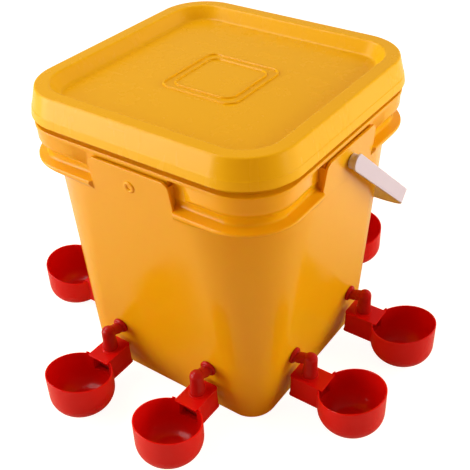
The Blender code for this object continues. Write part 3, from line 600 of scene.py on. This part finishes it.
def earPlate(side):
    foot, top, height = ear["footHalf"], ear["topHalf"], ear["height"]
    plate = standingPlate("ear", [(-foot, 0), (foot, 0), (top, height), (-top, height)],
                          ear["proud"] - ear["thickness"], ear["proud"], ear["corner"], ear["edge"])
    placed(plate, wallPlace(0, earFoot))
    for sign in (1, -1):    # the plate's ends turn back to the neck
        outer, inner = sign * ear["returnHalf"], sign * (ear["returnHalf"] - ear["returnWall"])
        near, far = sorted((outer, inner))
        back = box("back", (-ear["returnDepth"], near, ear["returnFoot"]),
                   (-0.001, far, ear["returnTop"]))
        combined(plate, placed(back, wallPlace(0, earFoot)), "UNION")
    if side in (0, 2):
        # a low ring with a rounded edge, a dished top and a hole
        radius, proud, hole = ear["bossRadius"], ear["proud"] + ear["bossHeight"], ear["bossHole"]
        boss = turned("boss", [(radius + 0.0006, -0.001), (radius + 0.0004, 0.0002),
                               (radius - 0.0003, proud - 0.0004), (radius - 0.0009, proud),
                               (radius - 0.0024, proud), (radius - 0.0029, proud - 0.0005),
                               (hole + 0.0003, proud - 0.0005), (hole, proud - 0.0009),
                               (hole, -0.0005)], 48)
        placed(boss, wallPlace(0, pivotHeight) @ lying)
        combined(plate, boss, "UNION")
    return placed(plate, sideTurn(side))


def spreadOutside(cutter, limit, spread):
    # widens the cutter's outer face, so that its ends slope
    startEditing(cutter)
    selectPoints(lambda p: p.x > limit)
    scaleSelected((1, spread, 1), (0, 0, 0))
    stopEditing()


def makeRoom(foot, top):
    # the hollow behind a plate: its ends slope, and the band stays behind the plate's top
    deep, outer = neckHalf + ear["roomFloor"], neckHalf + ear["roomDepth"]
    footHalf, topHalf = ear["roomFootHalf"], ear["roomTopHalf"]
    room = standingPlate("room", [(-footHalf, foot), (footHalf, foot), (topHalf, top),
                                  (-topHalf, top)], deep, outer)
    spreadOutside(room, neckHalf + ear["roomDepth"] / 2, ear["roomSpread"])
    half = ear["topHalf"] - ear["fillInset"]
    keep = box("keep", (deep - 0.001, -half, top - ear["fillTop"]),
               (ear["fillFace"], half, top + 0.001))
    return combined(room, keep, "DIFFERENCE")


def makePail():
    piece = roundedSquare("pail", pailRows(), pail["cornerSteps"])
    rooms, headRooms, ears, holes = [], [], [], []
    foot = neckFoot + pail["neckHeight"] / 2
    top = flangeFoot + 0.0001
    half, spare = ear["footHalf"] - ear["trimInset"], ear["trimSpare"]
    for side in range(4):
        turn = sideTurn(side)
        rooms.append(placed(makeRoom(foot, top), turn))
        trim = box("trim", (0.00005, -half, -pail["lipSlope"] - spare),
                   (ear["trimDepth"], half, pail["lipThickness"] + spare))
        spreadOutside(trim, ear["trimDepth"] / 2, ear["trimSpread"])
        rooms.append(placed(trim, turn @ wallPlace(0, earFoot)))
        ears.append(earPlate(side))
        if side in (1, 3):
            level = Matrix.Translation((0, 0, pivotHeight)) @ lying
            for cutters, radius, near, far in ((holes, ear["pinHole"], 0.0012, 0.02),
                                               (headRooms, ear["headRoom"], 0.0033, 0.012)):
                cutter = turned("hole", [(radius, neckHalf + near), (radius, neckHalf + far)], 32)
                cutters.append(placed(cutter, turn @ level))
    radius = fitting["tailRadius"] + fitting["gap"]
    for number, side, across in stations:
        hole = turned("hole", [(radius, -0.008), (radius, 0.003)], 32)
        holes.append(placed(hole, sideTurn(side) @ (wallPlace(across, fitting["height"]) @ lying)))
    for cutters, operation in ((rooms, "DIFFERENCE"), (headRooms, "DIFFERENCE"), (ears, "UNION"),
                               (holes, "DIFFERENCE")):
        combined(piece, joined(cutters), operation)
    return smoothed(cleaned(piece), 34)


fitting = {"spread": 0.0645, "height": 0.0654, "tailRadius": 0.0052, "tailLength": 0.0122,
           "flangeRadius": 0.0097, "flangeHeight": 0.0040, "armRootRadius": 0.0070, "armRadius": 0.0063,
           "armRise": 0.0052, "stemOut": 0.0226, "stemRadius": 0.0079, "stemFootRadius": 0.0087,
           "stemFoot": 0.0473, "stemFootHeight": 0.0060, "spigotRadius": 0.0046, "barbRadius": 0.0054,
           "barbTop": 0.0435, "barbHeight": 0.0016, "nozzleRadius": 0.003, "nozzleLength": 0.002,
           "threadStart": -0.0036, "threadPitch": 0.0010, "threadDepth": 0.0005, "boreRadius": 0.0016,
           "gap": 0.0003}
stemX = wallHalf(fitting["height"]) + fitting["stemOut"]
stations = [(2 * side + place + 1, side, (2 * place - 1) * fitting["spread"])
            for side in range(4) for place in (0, 1)]

pailPiece = makePail()
painted(pailPiece, pailYellow)
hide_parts("bucket")
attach(pailPiece, "root")
print("stage: pail", len(pailPiece.data.polygons), "faces")


# Lid

lid = {"skirtHeight": 0.030, "skirtFlare": 0.0075, "lineRise": 0.009, "lineOut": 0.0006,
       "wall": 0.0022, "corner": 0.055, "border": 0.0155, "recessDepth": 0.0145,
       "recessSlope": 0.009, "recessFillet": 0.0025, "edge": 0.002, "sealRibWidth": 0.0020,
       "sealRibDepth": 0.0100, "squares": (0.048, 0.039), "squareCorner": 0.013,
       "squareWidth": 0.0030, "squareHeight": 0.0018, "squareSlope": 0.0006,
       "gap": 0.0003, "cornerSteps": 20}


def lidRows():
    top = skirtFoot + lid["skirtHeight"]
    wall = lid["wall"]
    half = rimHalf + lid["gap"] + wall
    ceiling = top - wall
    floor = top - lid["recessDepth"]
    border = half - lid["border"]
    floorHalf = border - lid["recessSlope"]
    rib = rimHalf - pail["wall"] - lid["gap"]
    ribFoot = ceiling - lid["sealRibDepth"]
    skirtHalf = half + lid["skirtFlare"]
    lineHeight = skirtFoot + lid["lineRise"]
    lineHalf = half + lid["skirtFlare"] * (1 - lid["lineRise"] / lid["skirtHeight"])
    outline = [
        (floorHalf + wall - lid["recessFillet"], floor - wall, 0.0),
        (floorHalf + wall, floor - wall, 0.0015),
        (border + wall, ceiling, 0.001),
        (rib - lid["sealRibWidth"], ceiling, 0.0004),
        (rib - lid["sealRibWidth"], ribFoot, 0.0004),
        (rib, ribFoot, 0.0004),
        (rib, ceiling, 0.0),
        (rimHalf + lid["gap"], ceiling, 0.0),
        (skirtHalf - wall, skirtFoot, 0.0004),
        (skirtHalf, skirtFoot, 0.0009),
        (lineHalf + lid["lineOut"], lineHeight, 0.0003),
        (lineHalf, lineHeight + lid["lineOut"] * 1.2, 0.0003),
        (half, top, lid["edge"]),
        (border, top, lid["edge"]),
        (floorHalf, floor, lid["recessFillet"]),
    ]
    corners = [(x, lid["corner"] - half + x, height, distance) for x, height, distance in outline]
    corner, width, up = lid["squareCorner"], lid["squareWidth"], floor + lid["squareHeight"]
    slope = lid["squareSlope"]
    for square in lid["squares"]:
        corners += [(square, corner, floor, 0.0001), (square - slope, corner - slope, up, 0.0003),
                    (square - width + slope, corner - width + slope, up, 0.0003),
                    (square - width, corner - width, floor, 0.0001)]
    corners.append((square - 3 * width, corner - 2 * width, floor, 0.0))
    return softRows(corners)


lidPiece = smoothed(roundedSquare("pailLid", lidRows(), lid["cornerSteps"]), 40)
lidPiece.data.materials.append(lidYellow)
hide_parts("lid")
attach(lidPiece, "lid")
print("stage: lid", len(lidPiece.data.polygons), "faces")


# Carry handle

handle = {"width": 0.0182, "thickness": 0.003, "reach": 0.200, "bend": 0.040, "clearance": 0.004,
          "pinRadius": 0.0043, "hubRadius": 0.0080, "headRadius": 0.0070, "headThickness": 0.0022,
          "restAngle": 40.98, "edge": 0.0007, "bendSteps": 14, "gripSteps": 6}
armX = (rimHalf + lid["gap"] + lid["wall"] + lid["skirtFlare"] + handle["clearance"]
        + handle["thickness"] / 2)


def spinRound(x, y):
    bpy.ops.mesh.spin(steps=handle["bendSteps"], angle=math.radians(-90), center=(x, y, 0),
                      axis=(0, 0, 1))


def makeStrap():
    # a flat section is drawn along the arm, spun round the bend, and on to the other arm
    width, bend, steps = handle["width"], handle["bend"], handle["gripSteps"]
    deselectAll()
    bpy.ops.mesh.primitive_plane_add(size=1, location=(armX, -width / 2, 0),
                                     rotation=(math.radians(90), 0, 0))
    piece = bpy.context.object
    piece.name = "carryStrap"
    piece.scale = (handle["thickness"], width, 1)
    settle(piece)
    startEditing(piece, "EDGE")
    selectAll()
    bpy.ops.mesh.delete(type="ONLY_FACE")
    selectAll()
    straight = handle["reach"] - bend
    arm = (width / 2, *[straight / 4] * 4)
    corner = armX - bend
    for step in arm:
        drawOut(0, step, 0)
    spinRound(corner, straight)
    for step in range(steps):
        drawOut(-2 * corner / steps, 0, 0)
    spinRound(-corner, straight)
    for step in reversed(arm):
        drawOut(0, -step, 0)
    selectAll()
    bpy.ops.mesh.fill_holes(sides=0)
    near = 0.0001
    selectEdges(lambda a, b: abs(a.y + width / 2) < near > abs(b.y + width / 2)
                and abs(a.z - b.z) < near)
    bevelSelected(width / 2 - 0.00005, 12)
    stopEditing()
    cleaned(piece)
    return bevelled(piece, handle["edge"], 3, 50)


def makeStud(sign):
    hub, pin, head = handle["hubRadius"], handle["pinRadius"], handle["headRadius"]
    hubEnd = wallHalf(pivotHeight + hub) + 0.0007
    headFace = wallHalf(pivotHeight - head) + 0.0004 - ear["thickness"] - 0.0006
    headEnd = headFace - handle["headThickness"]
    stud = turned("stud", [(hub, armX), (hub, hubEnd + 0.0004), (hub - 0.0004, hubEnd),
                           (pin, hubEnd), (pin, headFace), (head - 0.0003, headFace),
                           (head, headFace - 0.0003), (head - 0.0006, headEnd + 0.0005),
                           (head - 0.0014, headEnd), (0.001, headEnd)], 40)
    return placed(stud, Matrix.Rotation(math.radians(90) * sign, 4, "Y"))


strapPiece = makeStrap()
for sign in (1, -1):
    combined(strapPiece, makeStud(sign), "UNION")
hang = Matrix.Rotation(math.radians(-handle["restAngle"]), 4, "X")
placed(strapPiece, Matrix.Translation((0, 0, pivotHeight)) @ hang)
smoothed(cleaned(strapPiece), 38)
painted(strapPiece, handleWhite)
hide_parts("carry_handle")
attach(strapPiece, "handle")
print("stage: carry handle", len(strapPiece.data.polygons), "faces")


# Elbow fittings: modelled once at a stem that stands on the Z axis, then copied to the eight places

def makeElbow():
    headHeight = fitting["height"] + fitting["armRise"]
    radius, foot, bore = fitting["stemRadius"], fitting["stemFoot"], fitting["boreRadius"]
    footRadius, footHeight = fitting["stemFootRadius"], fitting["stemFootHeight"]
    spigot, barb, nozzle = fitting["spigotRadius"], fitting["barbRadius"], fitting["nozzleRadius"]
    barbTop = fitting["barbTop"]
    barbFoot = barbTop - fitting["barbHeight"]
    tip = barbFoot - fitting["nozzleLength"]
    dome = [(radius * math.sin(math.radians(a)), headHeight + radius * math.cos(math.radians(a)))
            for a in (3, 10, 20, 30, 40, 50, 60, 70, 80, 90)]
    elbow = turned("elbow", [
        *dome, (radius, foot + 2 * footHeight), (radius + 0.0003, foot + 1.6 * footHeight),
        (footRadius - 0.0002, foot + 1.1 * footHeight), (footRadius, foot + footHeight),
        (footRadius, foot + 0.0004), (footRadius - 0.0004, foot), (spigot, foot), (spigot, barbTop),
        (barb - 0.0001, barbTop), (barb, barbTop - 0.0002), (spigot, barbFoot), (nozzle, barbFoot),
        (nozzle, tip + 0.0003), (nozzle - 0.0003, tip), (bore, tip), (bore, tip + 0.004)], 48)
    wallFrame = Matrix.Translation((-stemX, 0, 0)) @ wallPlace(0, fitting["height"])
    face = fitting["gap"]
    outer = face + fitting["flangeHeight"]
    flange, armRoot, arm = fitting["flangeRadius"], fitting["armRootRadius"], fitting["armRadius"]
    tail, end = fitting["tailRadius"], -fitting["tailLength"]
    thread, place, groove = [], fitting["threadStart"], tail - fitting["threadDepth"]
    while place > end + 0.0012:
        thread += [(tail, place), (tail, place - 0.0002), (groove, place - 0.0005),
                   (groove, place - 0.0007)]
        place -= fitting["threadPitch"]
    tailPiece = turned("tail", [
        (0.0010, outer + 0.0060), (arm - 0.0004, outer + 0.006), (armRoot - 0.0004, outer + 0.0012),
        (armRoot + 0.0003, outer), (flange - 0.0018, outer - 0.0001), (flange - 0.0009, outer - 0.0004),
        (flange - 0.0002, outer - 0.0011), (flange, outer - 0.0018), (flange, face + 0.0004),
        (flange - 0.0004, face), (tail, face), (tail, -0.003), *thread, (tail - 0.0008, end),
        (0.0024, end), (0.0024, end + 0.006)], 48)
    placed(tailPiece, wallFrame @ lying)
    head = Vector((0, 0, headHeight))
    root = wallFrame @ Vector((outer + 0.002, 0, 0))
    way = head - root
    armPiece = turned("arm", [(armRoot * 0.95, 0), (armRoot * 0.93, way.length * 0.3),
                              (arm, way.length * 0.7), (arm * 0.98, way.length)], 40)
    placed(armPiece, Matrix.Translation(root) @ way.to_track_quat("Z", "Y").to_matrix().to_4x4())
    knobX, knobHalf = (root.x + head.x) / 2 + 0.001, 0.0014
    knob = box("knob", (knobX - 0.0015, -knobHalf, headHeight - arm - 0.0032),
               (knobX + 0.0018, knobHalf, headHeight - 0.001))
    startEditing(knob)
    selectPoints(lambda p: p.z < headHeight - arm and p.x < knobX)
    moveSelected(0.0010, 0, 0)
    stopEditing()
    bevelled(knob, 0.0004, 2, 40)
    for other in (armPiece, tailPiece, knob):
        combined(elbow, other, "UNION")
    return smoothed(cleaned(elbow), 38)


def atStation(side, across):
    return sideTurn(side) @ Matrix.Translation((stemX, across, 0))


elbowModel = makeElbow()
painted(elbowModel, fittingRed)
for number, side, across in stations:
    piece = copied(elbowModel, "elbow%d" % number, atStation(side, across))
    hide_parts("elbow_%d" % number)
    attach(piece, "root")
bpy.data.objects.remove(elbowModel, do_unlink=True)
print("stage: elbows", len(piece.data.polygons), "faces each")


# Float cups: the stem's axis is the cup's own Z axis, and the bowl lies towards +X

cup = {"clearance": 0.0025, "top": 0.046, "bottom": 0.016, "half": 0.0145, "flare": 0.0007,
       "lip": 0.0006, "lipHeight": 0.0016, "corner": 0.004, "back": 0.0185, "front": 0.0235,
       "roof": 0.0022, "roofProud": 0.0003, "collarRadius": 0.0103, "collarHeight": 0.0010,
       "chamberWall": 0.0020, "chamberFront": 0.0120, "mouthHalf": 0.0120, "mouthTop": 0.0425,
       "mouthSill": 0.021, "mouthCorner": 0.004, "bowlOut": 0.0530, "bowlRadius": 0.0378,
       "bowlWall": 0.0018, "bowlFoot": 0.015, "bowlShoulder": 0.025, "rimRise": 0.0048,
       "rimSlant": math.radians(11), "tipLength": 0.0042, "tipHeight": 0.0011,
       "socketRadius": 0.0050, "seatRadius": 0.0073, "seatDepth": 0.0021, "bowlSteps": 14,
       "upperParts": (0.2, 0.45, 0.7)}


def bowlSide(inset):
    radius, foot, steps = cup["bowlRadius"] - inset, cup["bowlFoot"], cup["bowlSteps"]
    low, turn = cup["clearance"] + inset, cup["bowlShoulder"]
    rows = []
    for step in range(steps + 1):
        angle = math.radians(90 * step / steps)
        rows.append((foot + (radius - foot) * math.cos(angle),
                     turn - (turn - low) * math.sin(angle)))
    return rows


def makeBowl():
    wall, radius, slant = cup["bowlWall"], cup["bowlRadius"], cup["rimSlant"]
    rim = cup["top"] + cup["rimRise"]
    turn = cup["bowlShoulder"]
    parts = cup["upperParts"]
    rows = [(0.0004, cup["clearance"]), *reversed(bowlSide(0))]
    rows += [(radius, turn + (rim - turn) * part, slant * part) for part in parts]
    edge = rim - wall / 2
    rows += [(radius, edge, slant)]
    rows += [(radius - wall / 2 + wall / 2 * math.cos(math.radians(a)),
              edge + wall / 2 * math.sin(math.radians(a)), slant)
             for a in (25, 50, 75, 90, 105, 130, 155, 180)]
    rows += [(radius - wall, turn + (rim - turn) * part, slant * part) for part in reversed(parts)]
    rows += [*bowlSide(wall), (0.0004, cup["clearance"] + wall)]
    return placed(turned("bowl", rows, 96), Matrix.Translation((cup["bowlOut"], 0, 0)))


def bowlMeetsHousing():
    return cup["bowlOut"] - math.sqrt(cup["bowlRadius"] ** 2 - cup["half"] ** 2)


def makeHousing():
    half, back, flare, lip = cup["half"], cup["back"], cup["flare"], cup["lip"]
    front = bowlMeetsHousing() + cup["bowlWall"]
    low = cup["bottom"] + cup["lipHeight"]
    block = box("housing", (-back, -half, low), (front, half, cup["top"] - cup["roof"] / 2))
    startEditing(block)
    selectEdges(lambda a, b: a.x < 0 > b.x and abs(a.z - b.z) > 0.01)
    bevelSelected(cup["corner"], 7)
    selectFaces(lambda middle, normal: normal.z < -0.9)
    length = front + back
    # the foot flares, steps out to a lip and draws in at its lower edge
    lipDrop = cup["lipHeight"] - 0.0007
    for grow, downs in ((flare, (0.0002,)), (lip, (lipDrop, 0.0005)), (-0.0005, ())):
        scaleSelected((1 + grow / length, 1 + grow / half, 1), (front, 0, low))
        for down in downs:
            drawOut(0, 0, -down)
    stopEditing()
    return cleaned(block)


def makeRoof():
    half, proud, top = cup["half"], cup["roofProud"], cup["top"]
    roof = box("roof", (-cup["back"] - proud, -half - proud, top - cup["roof"] - 0.0003),
               (cup["front"], half + proud, top))
    startEditing(roof)
    selectEdges(lambda a, b: a.x < 0 > b.x and abs(a.z - b.z) > 0.001)
    bevelSelected(cup["corner"], 7)
    selectEdges(lambda a, b: a.x > 0 < b.x and abs(a.z - b.z) > 0.001)
    bevelSelected(0.0010, 3)
    stopEditing()
    return bevelled(roof, 0.0004, 2, 50)


def makeTip(sign):
    # the rim's end beside the roof, turned up into a small rounded ear
    wall, half, length = cup["bowlWall"], cup["half"], cup["tipLength"]
    radius = cup["bowlRadius"] - wall / 2
    start = math.asin((half + 0.0012) / radius)
    angle = math.pi - sign * (start + length / radius / 2)
    top, thick = cup["top"] + cup["tipHeight"], wall / 2 - 0.0001
    tip = box("tip", (-thick, -length / 2, top - 0.0075), (thick, length / 2, top))
    startEditing(tip)
    selectPoints(lambda p: p.z > top - 0.001 and -sign * p.y < 0)
    moveSelected(0, 0, -0.0012)
    stopEditing()
    bevelled(tip, 0.00075, 4, 40)
    spot = (cup["bowlOut"] + radius * math.cos(angle), radius * math.sin(angle), 0)
    return placed(tip, Matrix.Translation(spot) @ Matrix.Rotation(angle, 4, "Z"))


def makeMouth():
    half, top, sill = cup["mouthHalf"], cup["mouthTop"], cup["mouthSill"]
    first = cup["chamberFront"] - cup["chamberWall"] / 2
    last = bowlMeetsHousing() + 2 * cup["bowlWall"]
    return standingPlate("mouth", [(-half, sill), (half, sill), (half, top), (-half, top)], first, last,
                         cup["mouthCorner"])


def makeCup():
    wall = cup["bowlWall"]
    inside = bowlSide(wall)
    hollow = turned("hollow", [(inside[0][0], 0.09), *inside, (0.0004, cup["clearance"] + wall)], 96)
    placed(hollow, Matrix.Translation((cup["bowlOut"], 0, 0)))
    body = combined(makeHousing(), hollow, "DIFFERENCE")
    body.name = "cup"
    for part in (makeBowl(), makeTip(1), makeTip(-1), makeRoof()):
        combined(body, part, "UNION")
    roof = cup["top"]
    radius, top = cup["collarRadius"], roof + cup["collarHeight"]
    collar = turned("collar", [(0.001, roof - 0.001), (radius + 0.0002, roof - 0.001),
                               (radius, roof + 0.0002), (radius - 0.0001, top - 0.0003),
                               (radius - 0.0005, top), (0.001, top)], 64)
    combined(body, collar, "UNION")
    thick = cup["chamberWall"]
    chamber = box("chamber", (-cup["back"] + thick, -cup["half"] + thick, cup["bottom"] + thick),
                  (cup["chamberFront"], cup["half"] - thick, roof - cup["roof"]))
    seat, socket, depth = cup["seatRadius"], cup["socketRadius"], cup["seatDepth"]
    hole = turned("hole", [(seat, 0.06), (seat, top - depth), (socket, top - depth),
                           (socket, 0.040)], 48)
    for cutter in (chamber, makeMouth(), hole):
        combined(body, cutter, "DIFFERENCE")
    return smoothed(cleaned(body), 38)


cupModel = makeCup()
painted(cupModel, cupRed)
for number, side, across in stations:
    piece = copied(cupModel, "floatCup%d" % number, atStation(side, across))
    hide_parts("cup_%d" % number)
    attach(piece, "cup_%d" % number)
bpy.data.objects.remove(cupModel, do_unlink=True)
print("stage: cups", len(piece.data.polygons), "faces each")


# The hidden pieces keep their CAD shapes

finishes = {"lid_gasket": gasketSilicone, "lock_nut": fittingRed, "wall_washer": sealRubber,
            "stem_o_ring": sealRubber, "float_seal": sealRubber, "float": floatRed,
            "bucket": pailYellow, "lid": lidYellow, "carry_handle": handleWhite, "cup": cupRed,
            "elbow": fittingRed}
for name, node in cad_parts.items():
    kind = name.rstrip("0123456789").rstrip("_")
    for slot in node.material_slots:
        slot.material = finishes[kind]
print("stage: CAD pieces finished")


# Stage, light and camera

studio = {"floorColour": (0.60, 0.46, 0.34), "floorGlow": 0.92, "fill": 0.43,
          "fillColour": (1.0, 0.47, 0.17), "backdrop": (-0.59, 0.81, 0.0), "mirroredBack": 0.30,
          "mirroredFront": 0.04, "backdropEdge": (-0.25, 0.45), "floorSize": 4,
          "floorHeight": -0.0002, "floorRoughness": 0.8, "floorReflectionGlow": 0.5,
          "reflectionGlowReach": (0.2, 0.5), "reflectionShadeSide": (0.65, -0.76, 0.0), "reflectionShadeReach": (0.2, 0.42),
          "reflectionShadeShare": 0.1}
# each softbox: name, place, target, size, power, and whether gloss mirrors it
softboxes = (("left softbox", (-1.4, -1.5, 0.5), (0, 0, 0.2), (1.6, 1.6), 38.5, True),
             ("right softbox", (1.75, 1.15, 0.5), (0, 0, 0.2), (2.2, 2.0), 57.0, False),
             ("top softbox", (-1.1, -0.3, 1.7), (0, 0, 0.3), (1.2, 1.2), 16.0, True))
shot = {"place": (0.4706, -0.6319, 0.7154), "down": 36.1363, "turn": 36.0675, "roll": -2.103,
        "focalPixels": 810.84, "framePixels": 470, "sensor": 36}


def lightPaths(tree):
    # the rays that see the studio itself, and those that gloss sends out
    rays = addNode(tree, "ShaderNodeLightPath").outputs
    seen = mathNode(tree, "MAXIMUM", rays["Is Camera Ray"], rays["Is Transmission Ray"])
    return seen, rays["Is Glossy Ray"]


def measured(tree, coordinate, operation, direction=None):
    place = addNode(tree, "ShaderNodeTexCoord")
    node = addNode(tree, "ShaderNodeVectorMath", operation=operation)
    tree.links.new(place.outputs[coordinate], node.inputs[0])
    if direction:
        node.inputs[1].default_value = direction
    return node.outputs["Value"]


def makeFloor():
    deselectAll()
    bpy.ops.mesh.primitive_plane_add(size=studio["floorSize"], location=(0, 0, studio["floorHeight"]))
    floor = named("floor")
    material = bpy.data.materials.new("studio floor")
    material.use_nodes = True
    tree = material.node_tree
    seen, glossy = lightPaths(tree)
    # the floor glows for gloss alone, a painted reflection on the pail: pale out to both sides, dimmed
    # near the pail and in front of it as painted shade
    away = measured(tree, "Object", "LENGTH")
    front = measured(tree, "Object", "DOT_PRODUCT", studio["reflectionShadeSide"])
    pale = mathNode(tree, "MULTIPLY",
                    ranged(tree, away, *studio["reflectionGlowReach"], 0.0, studio["floorReflectionGlow"]),
                    ranged(tree, front, *studio["reflectionShadeReach"], 1.0, studio["reflectionShadeShare"]))
    mirrored = mathNode(tree, "MULTIPLY", glossy, pale)
    glow = mathNode(tree, "MULTIPLY_ADD", seen, studio["floorGlow"], mirrored)
    feedNamed(tree, tree.nodes["Principled BSDF"], Base_Color=(*studio["floorColour"], 1),
              Roughness=studio["floorRoughness"], Emission_Color=(1, 1, 1, 1),
              Emission_Strength=glow)
    floor.data.materials.append(material)


def makeWorld():
    world = bpy.data.worlds.new("studio")
    bpy.context.scene.world = world
    world.use_nodes = True
    tree = world.node_tree
    seen, glossy = lightPaths(tree)
    # what gloss mirrors: a white backdrop behind the pail, and a dim room in front of it
    facing = measured(tree, "Generated", "DOT_PRODUCT", studio["backdrop"])
    room = ranged(tree, facing, *studio["backdropEdge"], studio["mirroredFront"],
                  studio["mirroredBack"])
    backdrop = mathNode(tree, "MAXIMUM", seen, mathNode(tree, "MULTIPLY", glossy, room))
    white = mathNode(tree, "MAXIMUM", seen, glossy)
    dull = mathNode(tree, "SUBTRACT", 1.0, white)
    strength = mathNode(tree, "MULTIPLY_ADD", dull, studio["fill"], backdrop)
    colour = mixedColour(tree, white, (*studio["fillColour"], 1), (1.0, 1.0, 1.0, 1.0))
    feedNamed(tree, tree.nodes["Background"], Color=colour, Strength=strength)


def softbox(name, place, target, size, power, mirrored):
    data = bpy.data.lights.new(name, "AREA")
    data.shape = "RECTANGLE"
    data.size, data.size_y = size
    data.energy = power
    lamp = bpy.data.objects.new(name, data)
    bpy.context.scene.collection.objects.link(lamp)
    aim = (Vector(target) - Vector(place)).to_track_quat("-Z", "Y").to_matrix().to_4x4()
    lamp.matrix_world = Matrix.Translation(place) @ aim
    lamp.visible_glossy = mirrored


makeFloor()
makeWorld()
for values in softboxes:
    softbox(*values)

camera = bpy.data.objects.new("camera", bpy.data.cameras.new("camera"))
bpy.context.scene.collection.objects.link(camera)
camera.data.sensor_width = shot["sensor"]
camera.data.lens = shot["focalPixels"] * shot["sensor"] / shot["framePixels"]
tilt = math.pi / 2 - math.radians(shot["down"])
turn = Euler((tilt, 0, math.radians(shot["turn"]))).to_matrix()
turn = turn @ Matrix.Rotation(math.radians(shot["roll"]), 3, "Z")
camera.matrix_world = Matrix.Translation(shot["place"]) @ turn.to_4x4()
bpy.context.scene.camera = camera
bpy.context.scene.view_settings.view_transform = "Standard"
print("stage: studio and camera")
